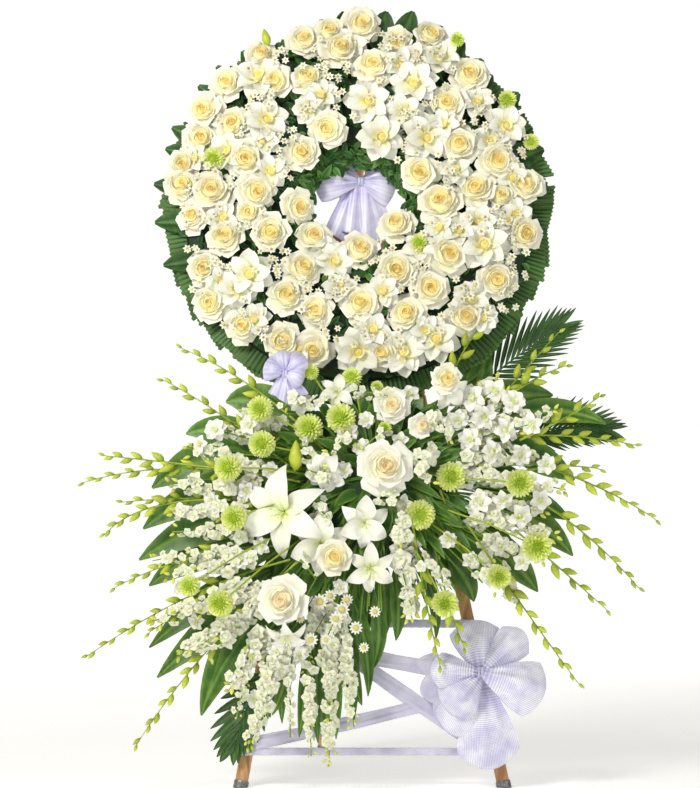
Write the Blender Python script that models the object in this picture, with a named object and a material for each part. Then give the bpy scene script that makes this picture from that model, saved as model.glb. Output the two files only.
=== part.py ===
"""Funeral flower stand: a leaning tripod of wooden poles that carries a wreath and a fan-shaped spray.

Metres, +Z up, the front faces -Y. The front pieces are made in the plane of the two front poles:
x to the side, u up along the plane and d out of its front. The plane leans back about the X axis.
"""

import math
import random

import bmesh
import bpy
from mathutils import Matrix, Vector
from mathutils.bvhtree import BVHTree

LEAN = math.radians(12.0)
GAP = 0.0003
SEED = 7

POLE_RADIUS = 0.014
APEX = (-0.0226, 1.466)
FOOT_LEFT_X = -0.277
FOOT_RIGHT_X = 0.282
REAR_FOOT = Vector((-0.105, 0.62, 0.0))
POLE_TOP_SPARE = 0.035
REAR_TOP_SPARE = 0.012
REAR_TOP_ROOM = 0.010
CAP_RADIUS = 0.016
CAP_LENGTH = 0.014
CAP_FLOOR = 0.005
BOLT_RADIUS = 0.004

WREATH_CENTRE = (-0.026, 1.239)
WREATH_RADIUS = 0.419
HOLE_RADIUS = 0.098
SECTORS = 6
SECTOR_GAP = 0.0006
BLOOM_RINGS = ((0.138, 2), (0.212, 3), (0.286, 4), (0.360, 5))

SPRAY_CENTRE = (0.01, 0.643)
FOAM_RADIUS = 0.10
FOAM_BACK = 0.030
FOAM_FRONT = 0.135
DOME_HALF = (0.18, 0.185)
DOME_HEIGHT = 0.055

draw = random.Random(SEED)


def clear_scene():
    for obj in list(bpy.data.objects):
        bpy.data.objects.remove(obj, do_unlink=True)


clear_scene()
stand = bpy.data.collections.new("funeral_flower_stand")
cutters = bpy.data.collections.new("cutters")
bpy.context.scene.collection.children.link(stand)
bpy.context.scene.collection.children.link(cutters)

root = bpy.data.objects.new("stand_base", None)
plane = bpy.data.objects.new("front_plane", None)
for helper in (root, plane):
    stand.objects.link(helper)
plane.rotation_euler = (-LEAN, 0.0, 0.0)
plane.parent = root


def finish(name, color, roughness, metallic=0.0):
    """A plain material in the colour of the real piece."""
    made = bpy.data.materials.new(name)
    made.use_nodes = True
    shader = made.node_tree.nodes["Principled BSDF"]
    shader.inputs["Base Color"].default_value = (*color, 1.0)
    shader.inputs["Roughness"].default_value = roughness
    shader.inputs["Metallic"].default_value = metallic
    return made


WOOD = finish("wood", (0.56, 0.30, 0.13), 0.6)
METAL = finish("dark_metal", (0.10, 0.10, 0.11), 0.4, 0.9)
WRAP = finish("ribbon_wrap", (0.70, 0.68, 0.80), 0.8)
NET = finish("net_ribbon", (0.72, 0.69, 0.82), 0.8)
SATIN = finish("satin_ribbon", (0.75, 0.72, 0.88), 0.4)
STRAW = finish("straw_foam", (0.20, 0.26, 0.10), 0.9)
PALM = finish("palm_leaf", (0.03, 0.10, 0.03), 0.5)
LEAF = finish("green_leaf", (0.06, 0.18, 0.05), 0.5)
LIME = finish("lime_bud", (0.42, 0.52, 0.10), 0.6)
PETAL = finish("ivory_petal", (0.88, 0.85, 0.70), 0.6)
WHITE = finish("white_petal", (0.90, 0.90, 0.84), 0.6)


def point(x, u, d):
    """A place in the front plane's own frame: out of its front is -Y."""
    return Vector((x, -d, u))


def spot(x, z, d):
    """The same, for a piece whose height over the floor is known."""
    return point(x, (z - d * math.sin(LEAN)) / math.cos(LEAN), d)


def add(name, mesh, look, parent=plane, matrix=None):
    obj = bpy.data.objects.new(name, mesh)
    mesh.materials.clear()
    mesh.materials.append(look)
    obj.parent = parent
    if matrix is not None:
        obj.matrix_local = matrix
    stand.objects.link(obj)
    return obj


def mesh_of(bm, name="piece"):
    bmesh.ops.triangulate(bm, faces=bm.faces)
    bmesh.ops.recalc_face_normals(bm, faces=bm.faces)
    if bm.calc_volume(signed=True) < 0.0:
        bmesh.ops.reverse_faces(bm, faces=bm.faces)
    mesh = bpy.data.meshes.new(name)
    bm.to_mesh(mesh)
    bm.free()
    return mesh


def skin(rings):
    """Closes a stack of rings into one body. A ring of one point is a tip; a longer end ring is capped."""
    bm = bmesh.new()
    made = [[bm.verts.new(place) for place in ring] for ring in rings]
    for lower, upper in zip(made, made[1:]):
        count = max(len(lower), len(upper))
        for i in range(count):
            j = (i + 1) % count
            if len(lower) == 1:
                bm.faces.new((lower[0], upper[j], upper[i]))
            elif len(upper) == 1:
                bm.faces.new((lower[i], lower[j], upper[0]))
            else:
                bm.faces.new((lower[i], lower[j], upper[j]))
                bm.faces.new((lower[i], upper[j], upper[i]))
    for end in (made[0], made[-1]):
        if len(end) > 2:
            bm.faces.new(end)
    return mesh_of(bm)


FLAT_ANGLE = math.radians(0.1)


def drop_scraps(bm):
    """Keeps the largest body. A joint can leave a loose sliver behind."""
    waiting = set(bm.verts)
    bodies = []
    while waiting:
        reached = [waiting.pop()]
        for vert in reached:
            for edge in vert.link_edges:
                other = edge.other_vert(vert)
                if other in waiting:
                    waiting.remove(other)
                    reached.append(other)
        bodies.append(reached)
    bodies.sort(key=len)
    scraps = [vert for body in bodies[:-1] for vert in body]
    bmesh.ops.delete(bm, geom=scraps, context="VERTS")


def fused(meshes, solver="MANIFOLD"):
    """One closed mesh from several that run into each other."""
    group = bpy.data.collections.new("to_join")
    bpy.context.scene.collection.children.link(group)
    parts = [bpy.data.objects.new("piece", mesh) for mesh in meshes]
    for part in parts[1:]:
        group.objects.link(part)
    cutters.objects.link(parts[0])
    join = parts[0].modifiers.new("join", "BOOLEAN")
    join.operation = "UNION"
    join.operand_type = "COLLECTION"
    join.collection = group
    join.solver = solver
    bpy.context.view_layer.update()
    graph = bpy.context.evaluated_depsgraph_get()
    result = bpy.data.meshes.new_from_object(parts[0].evaluated_get(graph))
    for part in parts:
        bpy.data.objects.remove(part, do_unlink=True)
    bpy.data.collections.remove(group)
    bm = bmesh.new()
    bm.from_mesh(result)
    bmesh.ops.dissolve_degenerate(bm, dist=0.00002, edges=bm.edges)
    bmesh.ops.dissolve_limit(bm, angle_limit=FLAT_ANGLE, verts=bm.verts, edges=bm.edges)
    drop_scraps(bm)
    return mesh_of(bm)


def cut(obj, cutter):
    tool = obj.modifiers.new("cut", "BOOLEAN")
    tool.operation = "DIFFERENCE"
    tool.object = cutter
    cutter.hide_render = True
    cutter.display_type = "WIRE"


def axes(direction, side_hint=Vector((0.0, 0.0, 1.0))):
    """Two unit vectors square to a direction and to each other."""
    along = direction.normalized()
    if abs(along.dot(side_hint)) > 0.95:
        side_hint = Vector((1.0, 0.0, 0.0))
    first = along.cross(side_hint).normalized()
    return first, along.cross(first).normalized()


def ring(centre, direction, radii, turn=0.0):
    """A ring of points about a line, one radius for each point."""
    first, second = axes(direction)
    count = len(radii)
    places = []
    for i, radius in enumerate(radii):
        angle = turn + 2.0 * math.pi * i / count
        places.append(centre + radius * (math.cos(angle) * first + math.sin(angle) * second))
    return places


def tube(path, radii, sides=3):
    """A closed stem along a few points."""
    rings = []
    for i, place in enumerate(path):
        ahead = path[min(i + 1, len(path) - 1)] - path[max(i - 1, 0)]
        rings.append(ring(place, ahead, [radii[i]] * sides))
    return skin(rings)


def cylinder_between(name, start, end, radius, look, parent, sides=20):
    bpy.ops.mesh.primitive_cylinder_add(vertices=sides, radius=radius, depth=(end - start).length)
    obj = bpy.context.object
    turn = (end - start).to_track_quat("Z", "Y").to_matrix().to_4x4()
    obj.data.transform(Matrix.Translation((start + end) / 2) @ turn)
    mesh = obj.data
    bpy.data.objects.remove(obj, do_unlink=True)
    mesh.shade_smooth()
    mesh.set_sharp_from_angle(angle=math.radians(40))
    return add(name, mesh, look, parent)


def box_between(name, start, end, height, thickness, look):
    """A flat bar whose broad face looks out of the front plane."""
    bpy.ops.mesh.primitive_cube_add(size=1.0)
    obj = bpy.context.object
    along = (end - start).normalized()
    out = Vector((0.0, -1.0, 0.0))
    out = (out - along * out.dot(along)).normalized()
    up = along.cross(out)
    frame = Matrix((along, out, up)).transposed().to_4x4()
    size = Matrix.Diagonal(((end - start).length, thickness, height, 1.0))
    obj.data.transform(Matrix.Translation((start + end) / 2) @ frame @ size)
    mesh = obj.data
    bpy.data.objects.remove(obj, do_unlink=True)
    return add(name, mesh, look)


# The tripod. The two front poles cross at the top, the left one in front, and the rear leg's top lies
# behind them. One bolt goes through all three. Each foot stands in a metal cap with a flat bottom.
def pole_depth(u, side):
    """How far a front pole's axis stands out of the plane: the poles part by their width at the crossing."""
    return side * (POLE_RADIUS + GAP) * u / APEX[1]


def pole_axis(foot_x, u, side):
    x = foot_x + (APEX[0] - foot_x) * u / APEX[1]
    return point(x, u, pole_depth(u, side))


def apex_place(d):
    return point(APEX[0], APEX[1], d)


to_world = Matrix.Rotation(-LEAN, 4, "X")
rear_top = to_world @ apex_place(-3.0 * (POLE_RADIUS + GAP) - REAR_TOP_ROOM)
legs = {
    "front_leg_left": [to_world @ pole_axis(FOOT_LEFT_X, u, 1) for u in (0.0, APEX[1])],
    "front_leg_right": [to_world @ pole_axis(FOOT_RIGHT_X, u, -1) for u in (0.0, APEX[1])],
    "rear_leg": [REAR_FOOT, rear_top],
}
bpy.ops.mesh.primitive_cube_add(size=1.0)
floor_block = bpy.context.object
floor_block.data.transform(Matrix.Translation((0.0, 0.3, -0.1)) @ Matrix.Diagonal((1.0, 1.2, 0.2, 1.0)))
floor_block.name = "floor_block"
bolt_hole = cylinder_between(
    "bolt_hole", apex_place(0.10), apex_place(-0.10), BOLT_RADIUS + GAP, METAL, root, 12
)
bolt_hole.data.transform(to_world)
for helper in (floor_block, bolt_hole):
    for home in list(helper.users_collection):
        home.objects.unlink(helper)
    cutters.objects.link(helper)
    helper.parent = root
    helper.hide_render = True
    helper.display_type = "WIRE"

for name, (foot, top) in legs.items():
    run = (top - foot).normalized()
    start = foot + run * (CAP_FLOOR / run.z + 0.003)
    spare = REAR_TOP_SPARE if name == "rear_leg" else POLE_TOP_SPARE
    pole = cylinder_between(name, start, top + run * spare, POLE_RADIUS, WOOD, root)
    cut(pole, bolt_hole)
    # The cap is a turned cup about the pole's line, cut level with the floor.
    outer = (-0.02, 0.004, CAP_LENGTH - 0.003, CAP_LENGTH)
    outer_radius = (CAP_RADIUS, CAP_RADIUS, CAP_RADIUS, CAP_RADIUS - 0.0006)
    inner_floor = (start - foot).length - GAP
    inner_radius = POLE_RADIUS + GAP
    rings = [ring(foot + run * h, run, [r] * 12) for h, r in zip(outer, outer_radius)]
    rings.append(ring(foot + run * CAP_LENGTH, run, [inner_radius / math.cos(math.pi / 12)] * 12))
    rings.append(ring(foot + run * inner_floor, run, [inner_radius / math.cos(math.pi / 12)] * 12))
    cap = add(name.replace("leg", "foot_cap"), skin(rings), METAL, root)
    cut(cap, floor_block)

HEAD_RADIUS = 0.009
BOLT_HEAD = 0.003
bolt_rings = []
front_face = POLE_RADIUS * 2 + 2 * GAP
back_face = -(5 * POLE_RADIUS + 0.010)
for d, radius in (
    (front_face + BOLT_HEAD, HEAD_RADIUS),
    (front_face, HEAD_RADIUS),
    (front_face, BOLT_RADIUS),
    (back_face, BOLT_RADIUS),
    (back_face, HEAD_RADIUS),
    (back_face - 0.007, HEAD_RADIUS),
):
    bolt_rings.append([point(p.x, p.z, d) for p in ring(apex_place(0.0), Vector((0, -1, 0)), [radius] * 10)])
add("apex_bolt", skin(bolt_rings), METAL)


# Crossbars. Two slats wrapped in white ribbon low between the front legs, and the plain slat that the
# spray's foam leans on. All three lie on the front of the poles.
def crossbar(name, u, height, thickness, spare, look):
    ends = []
    for foot_x, side in ((FOOT_LEFT_X, 1), (FOOT_RIGHT_X, -1)):
        at = pole_axis(foot_x, u, side)
        ends.append(at + Vector((0.0, -(POLE_RADIUS + GAP * 2 + thickness / 2), 0.0)))
    along = (ends[1] - ends[0]).normalized()
    return box_between(name, ends[0] - along * spare, ends[1] + along * spare, height, thickness, look)


LOWER_BAR_U = 0.074
LOWER_BAR_THICKNESS = 0.008
crossbar("lower_crossbar", LOWER_BAR_U, 0.018, LOWER_BAR_THICKNESS, 0.012, WRAP)
crossbar("upper_crossbar", 0.347, 0.019, 0.008, 0.014, WRAP)
crossbar("spray_crossbar", SPRAY_CENTRE[1], 0.026, 0.012, 0.012, WOOD)

# Net ribbon laced across the legs in three straight bands, each flat in front of the one before.
BAND_THICKNESS = 0.0008
BAND_FRONT = pole_depth(LOWER_BAR_U, 1) + POLE_RADIUS + LOWER_BAR_THICKNESS + 3 * GAP
BANDS = (
    ("net_band_rising", (-0.262, 0.088), (0.205, 0.196), 0.030),
    ("net_band_cross", (-0.075, 0.300), (0.238, 0.083), 0.034),
    ("net_band_falling", (-0.205, 0.318), (0.200, 0.238), 0.034),
)
for i, (name, (x0, u0), (x1, u1), width) in enumerate(BANDS):
    depth = BAND_FRONT + BAND_THICKNESS / 2 + i * (BAND_THICKNESS + GAP)
    box_between(name, point(x0, u0, depth), point(x1, u1, depth), width, BAND_THICKNESS, NET)


# A soft piece is set down from in front on what carries it, so that it touches without running into it.
EDGE_SHARES = [(i + 1) / 10 for i in range(9)]


def sampled(mesh, offset=Vector((0.0, 0.0, 0.0))):
    """The corners of a mesh and places along its edges."""
    places = [vert.co + offset for vert in mesh.vertices]
    for edge in mesh.edges:
        a, b = (mesh.vertices[i].co + offset for i in edge.vertices)
        places.extend(a.lerp(b, share) for share in EDGE_SHARES)
    return places


def tree_of(mesh):
    return BVHTree.FromPolygons(
        [vert.co for vert in mesh.vertices], [list(face.vertices) for face in mesh.polygons]
    )


BACK = Vector((0.0, 1.0, 0.0))


def shape_of(obj):
    """A piece's surface and places on it, in the front plane's frame."""
    mesh = obj.data.copy()
    if obj.parent is root:
        mesh.transform(to_world.inverted())
    return tree_of(mesh), sampled(mesh)


def set_down(mesh, on, clearance=0.0008):
    """Moves a piece back along the depth until it just clears what carries it."""
    tree = tree_of(mesh)
    nearest = 1.0
    for carrier, places in on:
        for place in sampled(mesh):
            nearest = min(nearest, carrier.ray_cast(place, BACK)[3] or 1.0)
        for place in places:
            nearest = min(nearest, tree.ray_cast(place, -BACK)[3] or 1.0)
    mesh.transform(Matrix.Translation(BACK * (nearest - clearance)))
    return mesh


# Bows: puffed ribbon loops and tails that meet in a knot.
def bow_lobe(centre, angle, length, width, thickness, sides=6):
    """One pleated loop, laid flat on the front plane, that starts thin at the knot."""
    angle = math.radians(angle)
    along = Vector((math.cos(angle), 0.0, math.sin(angle)))
    side = Vector((-math.sin(angle), 0.0, math.cos(angle)))
    rings = [[centre]]
    for share, spread, puff in ((0.18, 0.30, 0.45), (0.62, 1.0, 1.0), (0.93, 0.70, 0.7)):
        loop = []
        for i in range(sides):
            turn = 2.0 * math.pi * (i + 0.5) / sides
            pleat = 1.0 + 0.16 * (-1) ** i
            across = side * (math.cos(turn) * spread * width / 2)
            out = Vector((0.0, -math.sin(turn) * puff * pleat * thickness / 2, 0.0))
            loop.append(centre + along * (length * share) + across + out)
        rings.append(loop)
    rings.append([centre + along * length])
    return skin(rings)


def bow(name, centre, lobes, thickness, knot_radius, look):
    pieces = [skin_ball(centre, knot_radius, thickness * 0.56)]
    for angle, length, width in lobes:
        pieces.append(bow_lobe(centre, angle, length, width, thickness))
    return add(name, fused(pieces), look)


def skin_ball(centre, radius, half_depth, sides=6):
    rings = [[centre + Vector((0.0, half_depth, 0.0))]]
    for angle in (-0.55, 0.0, 0.55):
        loop = []
        for i in range(sides):
            turn = 2.0 * math.pi * i / sides
            flat = radius * math.cos(angle)
            loop.append(
                centre + Vector((flat * math.cos(turn), -half_depth * math.sin(angle), flat * math.sin(turn)))
            )
        rings.append(loop)
    rings.append([centre + Vector((0.0, -half_depth, 0.0))])
    return skin(rings)


NET_BOW_LOBES = (
    (118, 0.122, 0.105),
    (32, 0.142, 0.085),
    (-22, 0.150, 0.115),
    (172, 0.108, 0.075),
    (240, 0.135, 0.085),
    (-88, 0.198, 0.130),
)
net_bow = bow("net_bow", spot(0.235, 0.236, 0.075), NET_BOW_LOBES, 0.062, 0.020, NET)
net_carriers = [shape_of(obj) for obj in stand.objects if obj.name.startswith(("net_band", "front_leg", "lower"))]
set_down(net_bow.data, net_carriers)
HOLE_BOW_LOBES = (
    (170, 0.088, 0.062),
    (-4, 0.062, 0.070),
    (32, 0.098, 0.048),
    (-104, 0.128, 0.046),
    (-78, 0.126, 0.046),
)
hole_bow = bow("hole_bow", spot(-0.022, 1.287, 0.052), HOLE_BOW_LOBES, 0.032, 0.013, SATIN)
set_down(hole_bow.data, [shape_of(obj) for obj in stand.objects if obj.name.startswith("front_leg")])


# The wreath. A flat foam ring on the poles, a fringe of pleated palm blades pinned round its front, and
# the bed of leaves and flowers over both, in six sectors round the open hole.
def on_wreath(r, angle, d):
    x = WREATH_CENTRE[0] + r * math.cos(angle)
    return point(x, WREATH_CENTRE[1] + r * math.sin(angle), d)


RING_BACK = front_face + BOLT_HEAD + GAP
RING_HALF = 0.0195
bpy.ops.mesh.primitive_torus_add(
    major_segments=20, minor_segments=6, major_radius=0.235, minor_radius=0.055
)
foam_ring = bpy.context.object
ring_place = Matrix.Translation(on_wreath(0.0, 0.0, RING_BACK + RING_HALF))
ring_size = Matrix.Diagonal((1.0, 1.0, RING_HALF / (0.055 * math.sin(math.pi / 3)), 1.0))
foam_ring.data.transform(ring_place @ Matrix.Rotation(math.pi / 2, 4, "X") @ ring_size)
ring_mesh = foam_ring.data
bpy.data.objects.remove(foam_ring, do_unlink=True)
add("wreath_foam_ring", ring_mesh, STRAW)

FRINGE_BACK = RING_BACK + 2 * RING_HALF + GAP
FRINGE_INNER = 0.24
FRINGE_THICKNESS = 0.0014
PLEAT = 0.009
PLEATS = 10
NOTCH = 0.034


def polar_shell(grid_front, grid_back):
    """A closed body from a front and a back grid of points of the same size."""
    bm = bmesh.new()
    faces = []
    for grid in (grid_front, grid_back):
        verts = [[bm.verts.new(place) for place in row] for row in grid]
        faces.append(verts)
        for low, high in zip(verts, verts[1:]):
            for j in range(len(low) - 1):
                bm.faces.new((low[j], low[j + 1], high[j + 1]))
                bm.faces.new((low[j], high[j + 1], high[j]))
    front, back = faces
    rims = [
        (front[0], back[0]),
        (front[-1], back[-1]),
        ([row[0] for row in front], [row[0] for row in back]),
        ([row[-1] for row in front], [row[-1] for row in back]),
    ]
    for near, far in rims:
        for j in range(len(near) - 1):
            bm.faces.new((near[j], near[j + 1], far[j + 1], far[j]))
    return mesh_of(bm)


def sector_angles(k, steps, radius):
    """Evenly spread angles over one sector, short of its neighbours by the gap."""
    clear = SECTOR_GAP / radius
    start = 2.0 * math.pi * k / SECTORS + clear
    width = 2.0 * math.pi / SECTORS - 2.0 * clear
    return [start + width * i / steps for i in range(steps + 1)]


for k in range(SECTORS):
    grids = ([], [])
    for share in (0.0, 1.0):
        rows = ([], [])
        for j, angle in enumerate(sector_angles(k, 2 * PLEATS, FRINGE_INNER)):
            reach = WREATH_RADIUS - 0.002 * (j % 4) - NOTCH * (j % 2)
            r = FRINGE_INNER + (reach - FRINGE_INNER) * share
            d = FRINGE_BACK + (PLEAT * (0.25 + 0.75 * share) if j % 2 else 0.0)
            rows[0].append(on_wreath(r, angle, d + FRINGE_THICKNESS))
            rows[1].append(on_wreath(r, angle, d))
        for grid, row in zip(grids, rows):
            grid.append(row)
    add(f"palm_fringe_{k + 1}", polar_shell(*grids), PALM)

BED_BACK = FRINGE_BACK + PLEAT + FRINGE_THICKNESS + GAP
BED_EDGE = 0.096
BED_CROWN = 0.024
BED_OUTER = 0.388
BED_ROWS = 4
BED_COLUMNS = 6


def bed_front(r):
    """How far the leaf bed stands out at a radius: a low dome between the hole and the rim."""
    middle = (HOLE_RADIUS + BED_OUTER) / 2
    half = (BED_OUTER - HOLE_RADIUS) / 2
    return BED_EDGE + BED_CROWN * (1.0 - ((r - middle) / half) ** 2)


def bed_sector(k):
    grids = ([], [])
    for i in range(BED_ROWS + 1):
        rows = ([], [])
        for j, angle in enumerate(sector_angles(k, BED_COLUMNS, HOLE_RADIUS)):
            r = HOLE_RADIUS + (BED_OUTER - HOLE_RADIUS) * i / BED_ROWS
            if j % 2:
                r += {0: 0.014, BED_ROWS: -0.018}.get(i, 0.0)
            relief = 0.004 * ((i + j) % 2)
            rows[0].append(on_wreath(r, angle, bed_front(r) - relief))
            rows[1].append(on_wreath(r, angle, BED_BACK))
        for grid, row in zip(grids, rows):
            grid.append(row)
    return polar_shell(*grids)


def rosette(centre, axis, radius, height, rows, sides, turn=0.0, base=0.0):
    """A bloom from the top down: rows of (share of radius, share of height, how deep the petals part)."""
    along = axis.normalized()
    rings = [[centre + along * (height * rows[0][1])]]
    for share, level, parted in rows[1:]:
        radii = [radius * share * (1.0 + parted * (-1) ** j) for j in range(sides)]
        rings.append(ring(centre + along * (height * level), along, radii, turn))
    rings.append([centre + along * base])
    return skin(rings)


ROSE = ((0.0, 0.84, 0.0), (0.32, 1.0, 0.06), (0.50, 0.62, -0.10), (0.94, 0.58, 0.10))
STAR = ((0.0, 0.75, 0.0), (0.20, 0.60, 0.20), (0.60, 0.55, 0.42), (0.76, 0.40, 0.36))
POMPON = ((0.0, 1.0, 0.0), (0.66, 0.76, 0.14), (1.0, 0.12, -0.12), (0.66, -0.58, 0.12))
ROSE_RADIUS = 0.036
ROSE_HEIGHT = 0.036
STAR_RADIUS = 0.054
SINK = 0.010


def wreath_bloom(kind, r, angle):
    slope = math.atan2(bed_front(r - 0.01) - bed_front(r + 0.01), 0.02)
    out = Vector((0.0, -1.0, 0.0))
    outward = Vector((math.cos(angle), 0.0, math.sin(angle)))
    axis = out * math.cos(slope) + outward * math.sin(slope)
    seat = on_wreath(r, angle, bed_front(r) - SINK)
    turn = draw.uniform(0.0, math.pi)
    if kind == "star":
        return rosette(seat, axis, STAR_RADIUS, 0.046, STAR, 12, turn)
    if kind == "pompon":
        return rosette(seat + axis * 0.024, axis, 0.024, 0.024, POMPON, 6, turn, -0.023)
    size = draw.uniform(0.90, 0.98)
    return rosette(seat, axis, ROSE_RADIUS * size, ROSE_HEIGHT + 0.004, ROSE, 6, turn)


flower_sectors = []
for k in range(SECTORS):
    pieces = [bed_sector(k)]
    width = 2.0 * math.pi / SECTORS
    for level, (r, count) in enumerate(BLOOM_RINGS):
        wide = {3: 1 + k % 2, 2: (k + 1) % 2 * 2}.get(level)
        slots = list(range(count))
        for slot in slots:
            angle = width * (k + (slot + 0.5) / count)
            if level == 3 and slot == wide:
                pieces.append(wreath_bloom("star", r, angle + width / count / 2))
            elif level == 3 and slot == wide + 1:
                continue
            elif level == 1 and slot == 1 and k % 3 != 1:
                pieces.append(wreath_bloom("star", r, angle))
            elif level == 2 and slot == 1 + k % 2:
                pieces.append(wreath_bloom("pompon", r, angle))
            else:
                pieces.append(wreath_bloom("rose", r, angle))
    sector = add(f"wreath_flowers_{k + 1}", fused(pieces), PETAL)
    flower_sectors.append(sector)


# The spray. A round block of foam on its crossbar, with leaves, bud stems and stock pushed into its
# side in layers that lean out more and more, and the front greens and large blooms over its face.
def around(centre, reach, angle, d):
    return point(centre[0] + reach * math.cos(angle), centre[1] + reach * math.sin(angle), d)


foam_rings = []
for d in (FOAM_BACK, FOAM_FRONT):
    foam_rings.append([around(SPRAY_CENTRE, FOAM_RADIUS, 2 * math.pi * i / 24, d) for i in range(24)])
add("spray_foam_block", skin(foam_rings), STRAW)

HUB_INNER = FOAM_RADIUS + GAP
HUB_OUTER = FOAM_RADIUS + 0.009
HUB_HALF = 0.004


def hub(first_deg, last_deg, d):
    """The band of cut stem ends round the foam's side that holds one layer together."""
    steps = max(2, round((last_deg - first_deg) / 14))
    clear = 1.0 / math.cos(math.radians(last_deg - first_deg) / steps / 2)
    grids = ([], [])
    for r in (HUB_INNER * clear, HUB_OUTER):
        for grid, depth in zip(grids, (d + HUB_HALF, d - HUB_HALF)):
            row = []
            for i in range(steps + 1):
                angle = math.radians(first_deg + (last_deg - first_deg) * i / steps)
                row.append(around(SPRAY_CENTRE, r, angle, depth))
            grid.append(row)
    return polar_shell(*grids)


def layer_place(angle_deg, reach, depth, slope, sag=0.0):
    """A place on one layer of the fan, at a reach from the spray's centre."""
    beyond = reach - FOAM_RADIUS
    place = around(SPRAY_CENTRE, reach, math.radians(angle_deg), depth + slope * beyond)
    return place - Vector((0.0, 0.0, sag * beyond * beyond))


BUD_LAYER = (0.056, 0.06, 0.10)
BUD_LOW_LAYER = (0.056, 0.20, 0.06)
STOCK_LAYER = (0.088, 0.20, 0.06)
LEAF_LAYER = (0.045, 0.0, 0.12)
FROND_LAYER = (0.0365, -0.01, 0.06)


def bud_stem(angle_deg, length, layer):
    """An arching stem with green buds left and right along its outer part."""
    shares = (0.0, 0.35, 0.7, 1.0)
    reaches = [HUB_INNER + 0.003 + (length - HUB_INNER) * share for share in shares]
    path = [layer_place(angle_deg, reach, *layer) for reach in reaches]
    pieces = [tube(path, (0.0026, 0.0023, 0.0018, 0.0010))]
    buds = 4 + round((length - 0.4) * 2.5)
    for i in range(buds):
        reach = length * (0.52 + 0.48 * i / (buds - 1)) - 0.006
        span = next(j for j in range(3) if reach <= reaches[j + 1])
        ahead = (path[span + 1] - path[span]).normalized()
        here = path[span].lerp(path[span + 1], (reach - reaches[span]) / (reaches[span + 1] - reaches[span]))
        side = Vector((ahead.z, 0.0, -ahead.x)) * (-1) ** i
        out = Vector((0.0, -draw.uniform(0.0, 0.5), 0.0))
        run = (ahead + side * 0.75 + out).normalized()
        size = 0.030 - 0.012 * i / buds
        middle = ring(here + run * size * 0.55, run, [size * 0.27] * 3)
        pieces.append(skin([[here - run * 0.0018], middle, [here + run * size]]))
    return pieces


def bunch(name, stems, make, layer, look, hub_margin=7.0):
    angles = [stem[0] for stem in stems]
    pieces = [hub(min(angles) - hub_margin, max(angles) + hub_margin, layer[0])]
    for stem in stems:
        pieces.extend(make(*stem, layer))
    return add(name, fused(pieces), look)


BUDS_LEFT = (
    (146, 0.49),
    (156, 0.50),
    (174, 0.58),
    (180, 0.62),
    (186, 0.54),
    (192, 0.59),
    (203, 0.60),
    (212, 0.71),
    (229, 0.755),
)
BUDS_RIGHT = ((38, 0.49), (29, 0.47), (17, 0.50), (8, 0.555), (-1, 0.475), (-9, 0.60), (-22, 0.60), (-30, 0.56))
BUDS_LOW = ((-46, 0.60), (-61, 0.41), (-71, 0.42))
bunch("bud_stems_left", BUDS_LEFT, bud_stem, BUD_LAYER, LIME)
bunch("bud_stems_right", BUDS_RIGHT, bud_stem, BUD_LAYER, LIME, 4.0)
bunch("bud_stems_low", BUDS_LOW, bud_stem, BUD_LOW_LAYER, LIME, 4.0)


def stock_spike(angle_deg, start, end, width, layer):
    """A spike of white florets round one stem, raised as a relief of knobs."""
    sides = 6
    rings = []
    path = [HUB_INNER + 0.003, start] + [start + (end - start) * share for share in (0.12, 0.42, 0.75)]
    radii = (0.0028, 0.0040, width * 0.40, width * 0.5, width * 0.36)
    for i, (reach, radius) in enumerate(zip(path, radii)):
        here = layer_place(angle_deg, reach, *layer)
        ahead = layer_place(angle_deg, reach + 0.01, *layer) - here
        knobs = 0.20 if i > 1 else 0.0
        rings.append(ring(here, ahead, [radius * (1.0 + knobs * (-1) ** (i + j)) for j in range(sides)], i * 0.4))
    rings.append([layer_place(angle_deg, end, *layer)])
    return [skin(rings)]


STOCK_LEFT = (
    (154, 0.20, 0.38, 0.050),
    (165, 0.20, 0.40, 0.052),
    (176, 0.20, 0.43, 0.052),
    (187, 0.20, 0.43, 0.052),
    (198, 0.22, 0.46, 0.052),
    (209, 0.22, 0.43, 0.052),
)
STOCK_RIGHT = (
    (40, 0.20, 0.34, 0.050),
    (29, 0.20, 0.37, 0.052),
    (18, 0.20, 0.41, 0.052),
    (7, 0.20, 0.37, 0.052),
    (-4, 0.20, 0.42, 0.052),
    (-16, 0.20, 0.42, 0.052),
)
STOCK_LOW = (
    (232, 0.37, 0.52, 0.048),
    (241, 0.38, 0.53, 0.046),
    (250, 0.40, 0.56, 0.044),
    (259, 0.46, 0.60, 0.042),
    (265, 0.32, 0.50, 0.046),
    (284, 0.20, 0.31, 0.052),
)
bunch("stock_left", STOCK_LEFT, stock_spike, STOCK_LAYER, WHITE)
bunch("stock_right", STOCK_RIGHT, stock_spike, STOCK_LAYER, WHITE)
bunch("stock_low", STOCK_LOW, stock_spike, STOCK_LAYER, WHITE)


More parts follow.
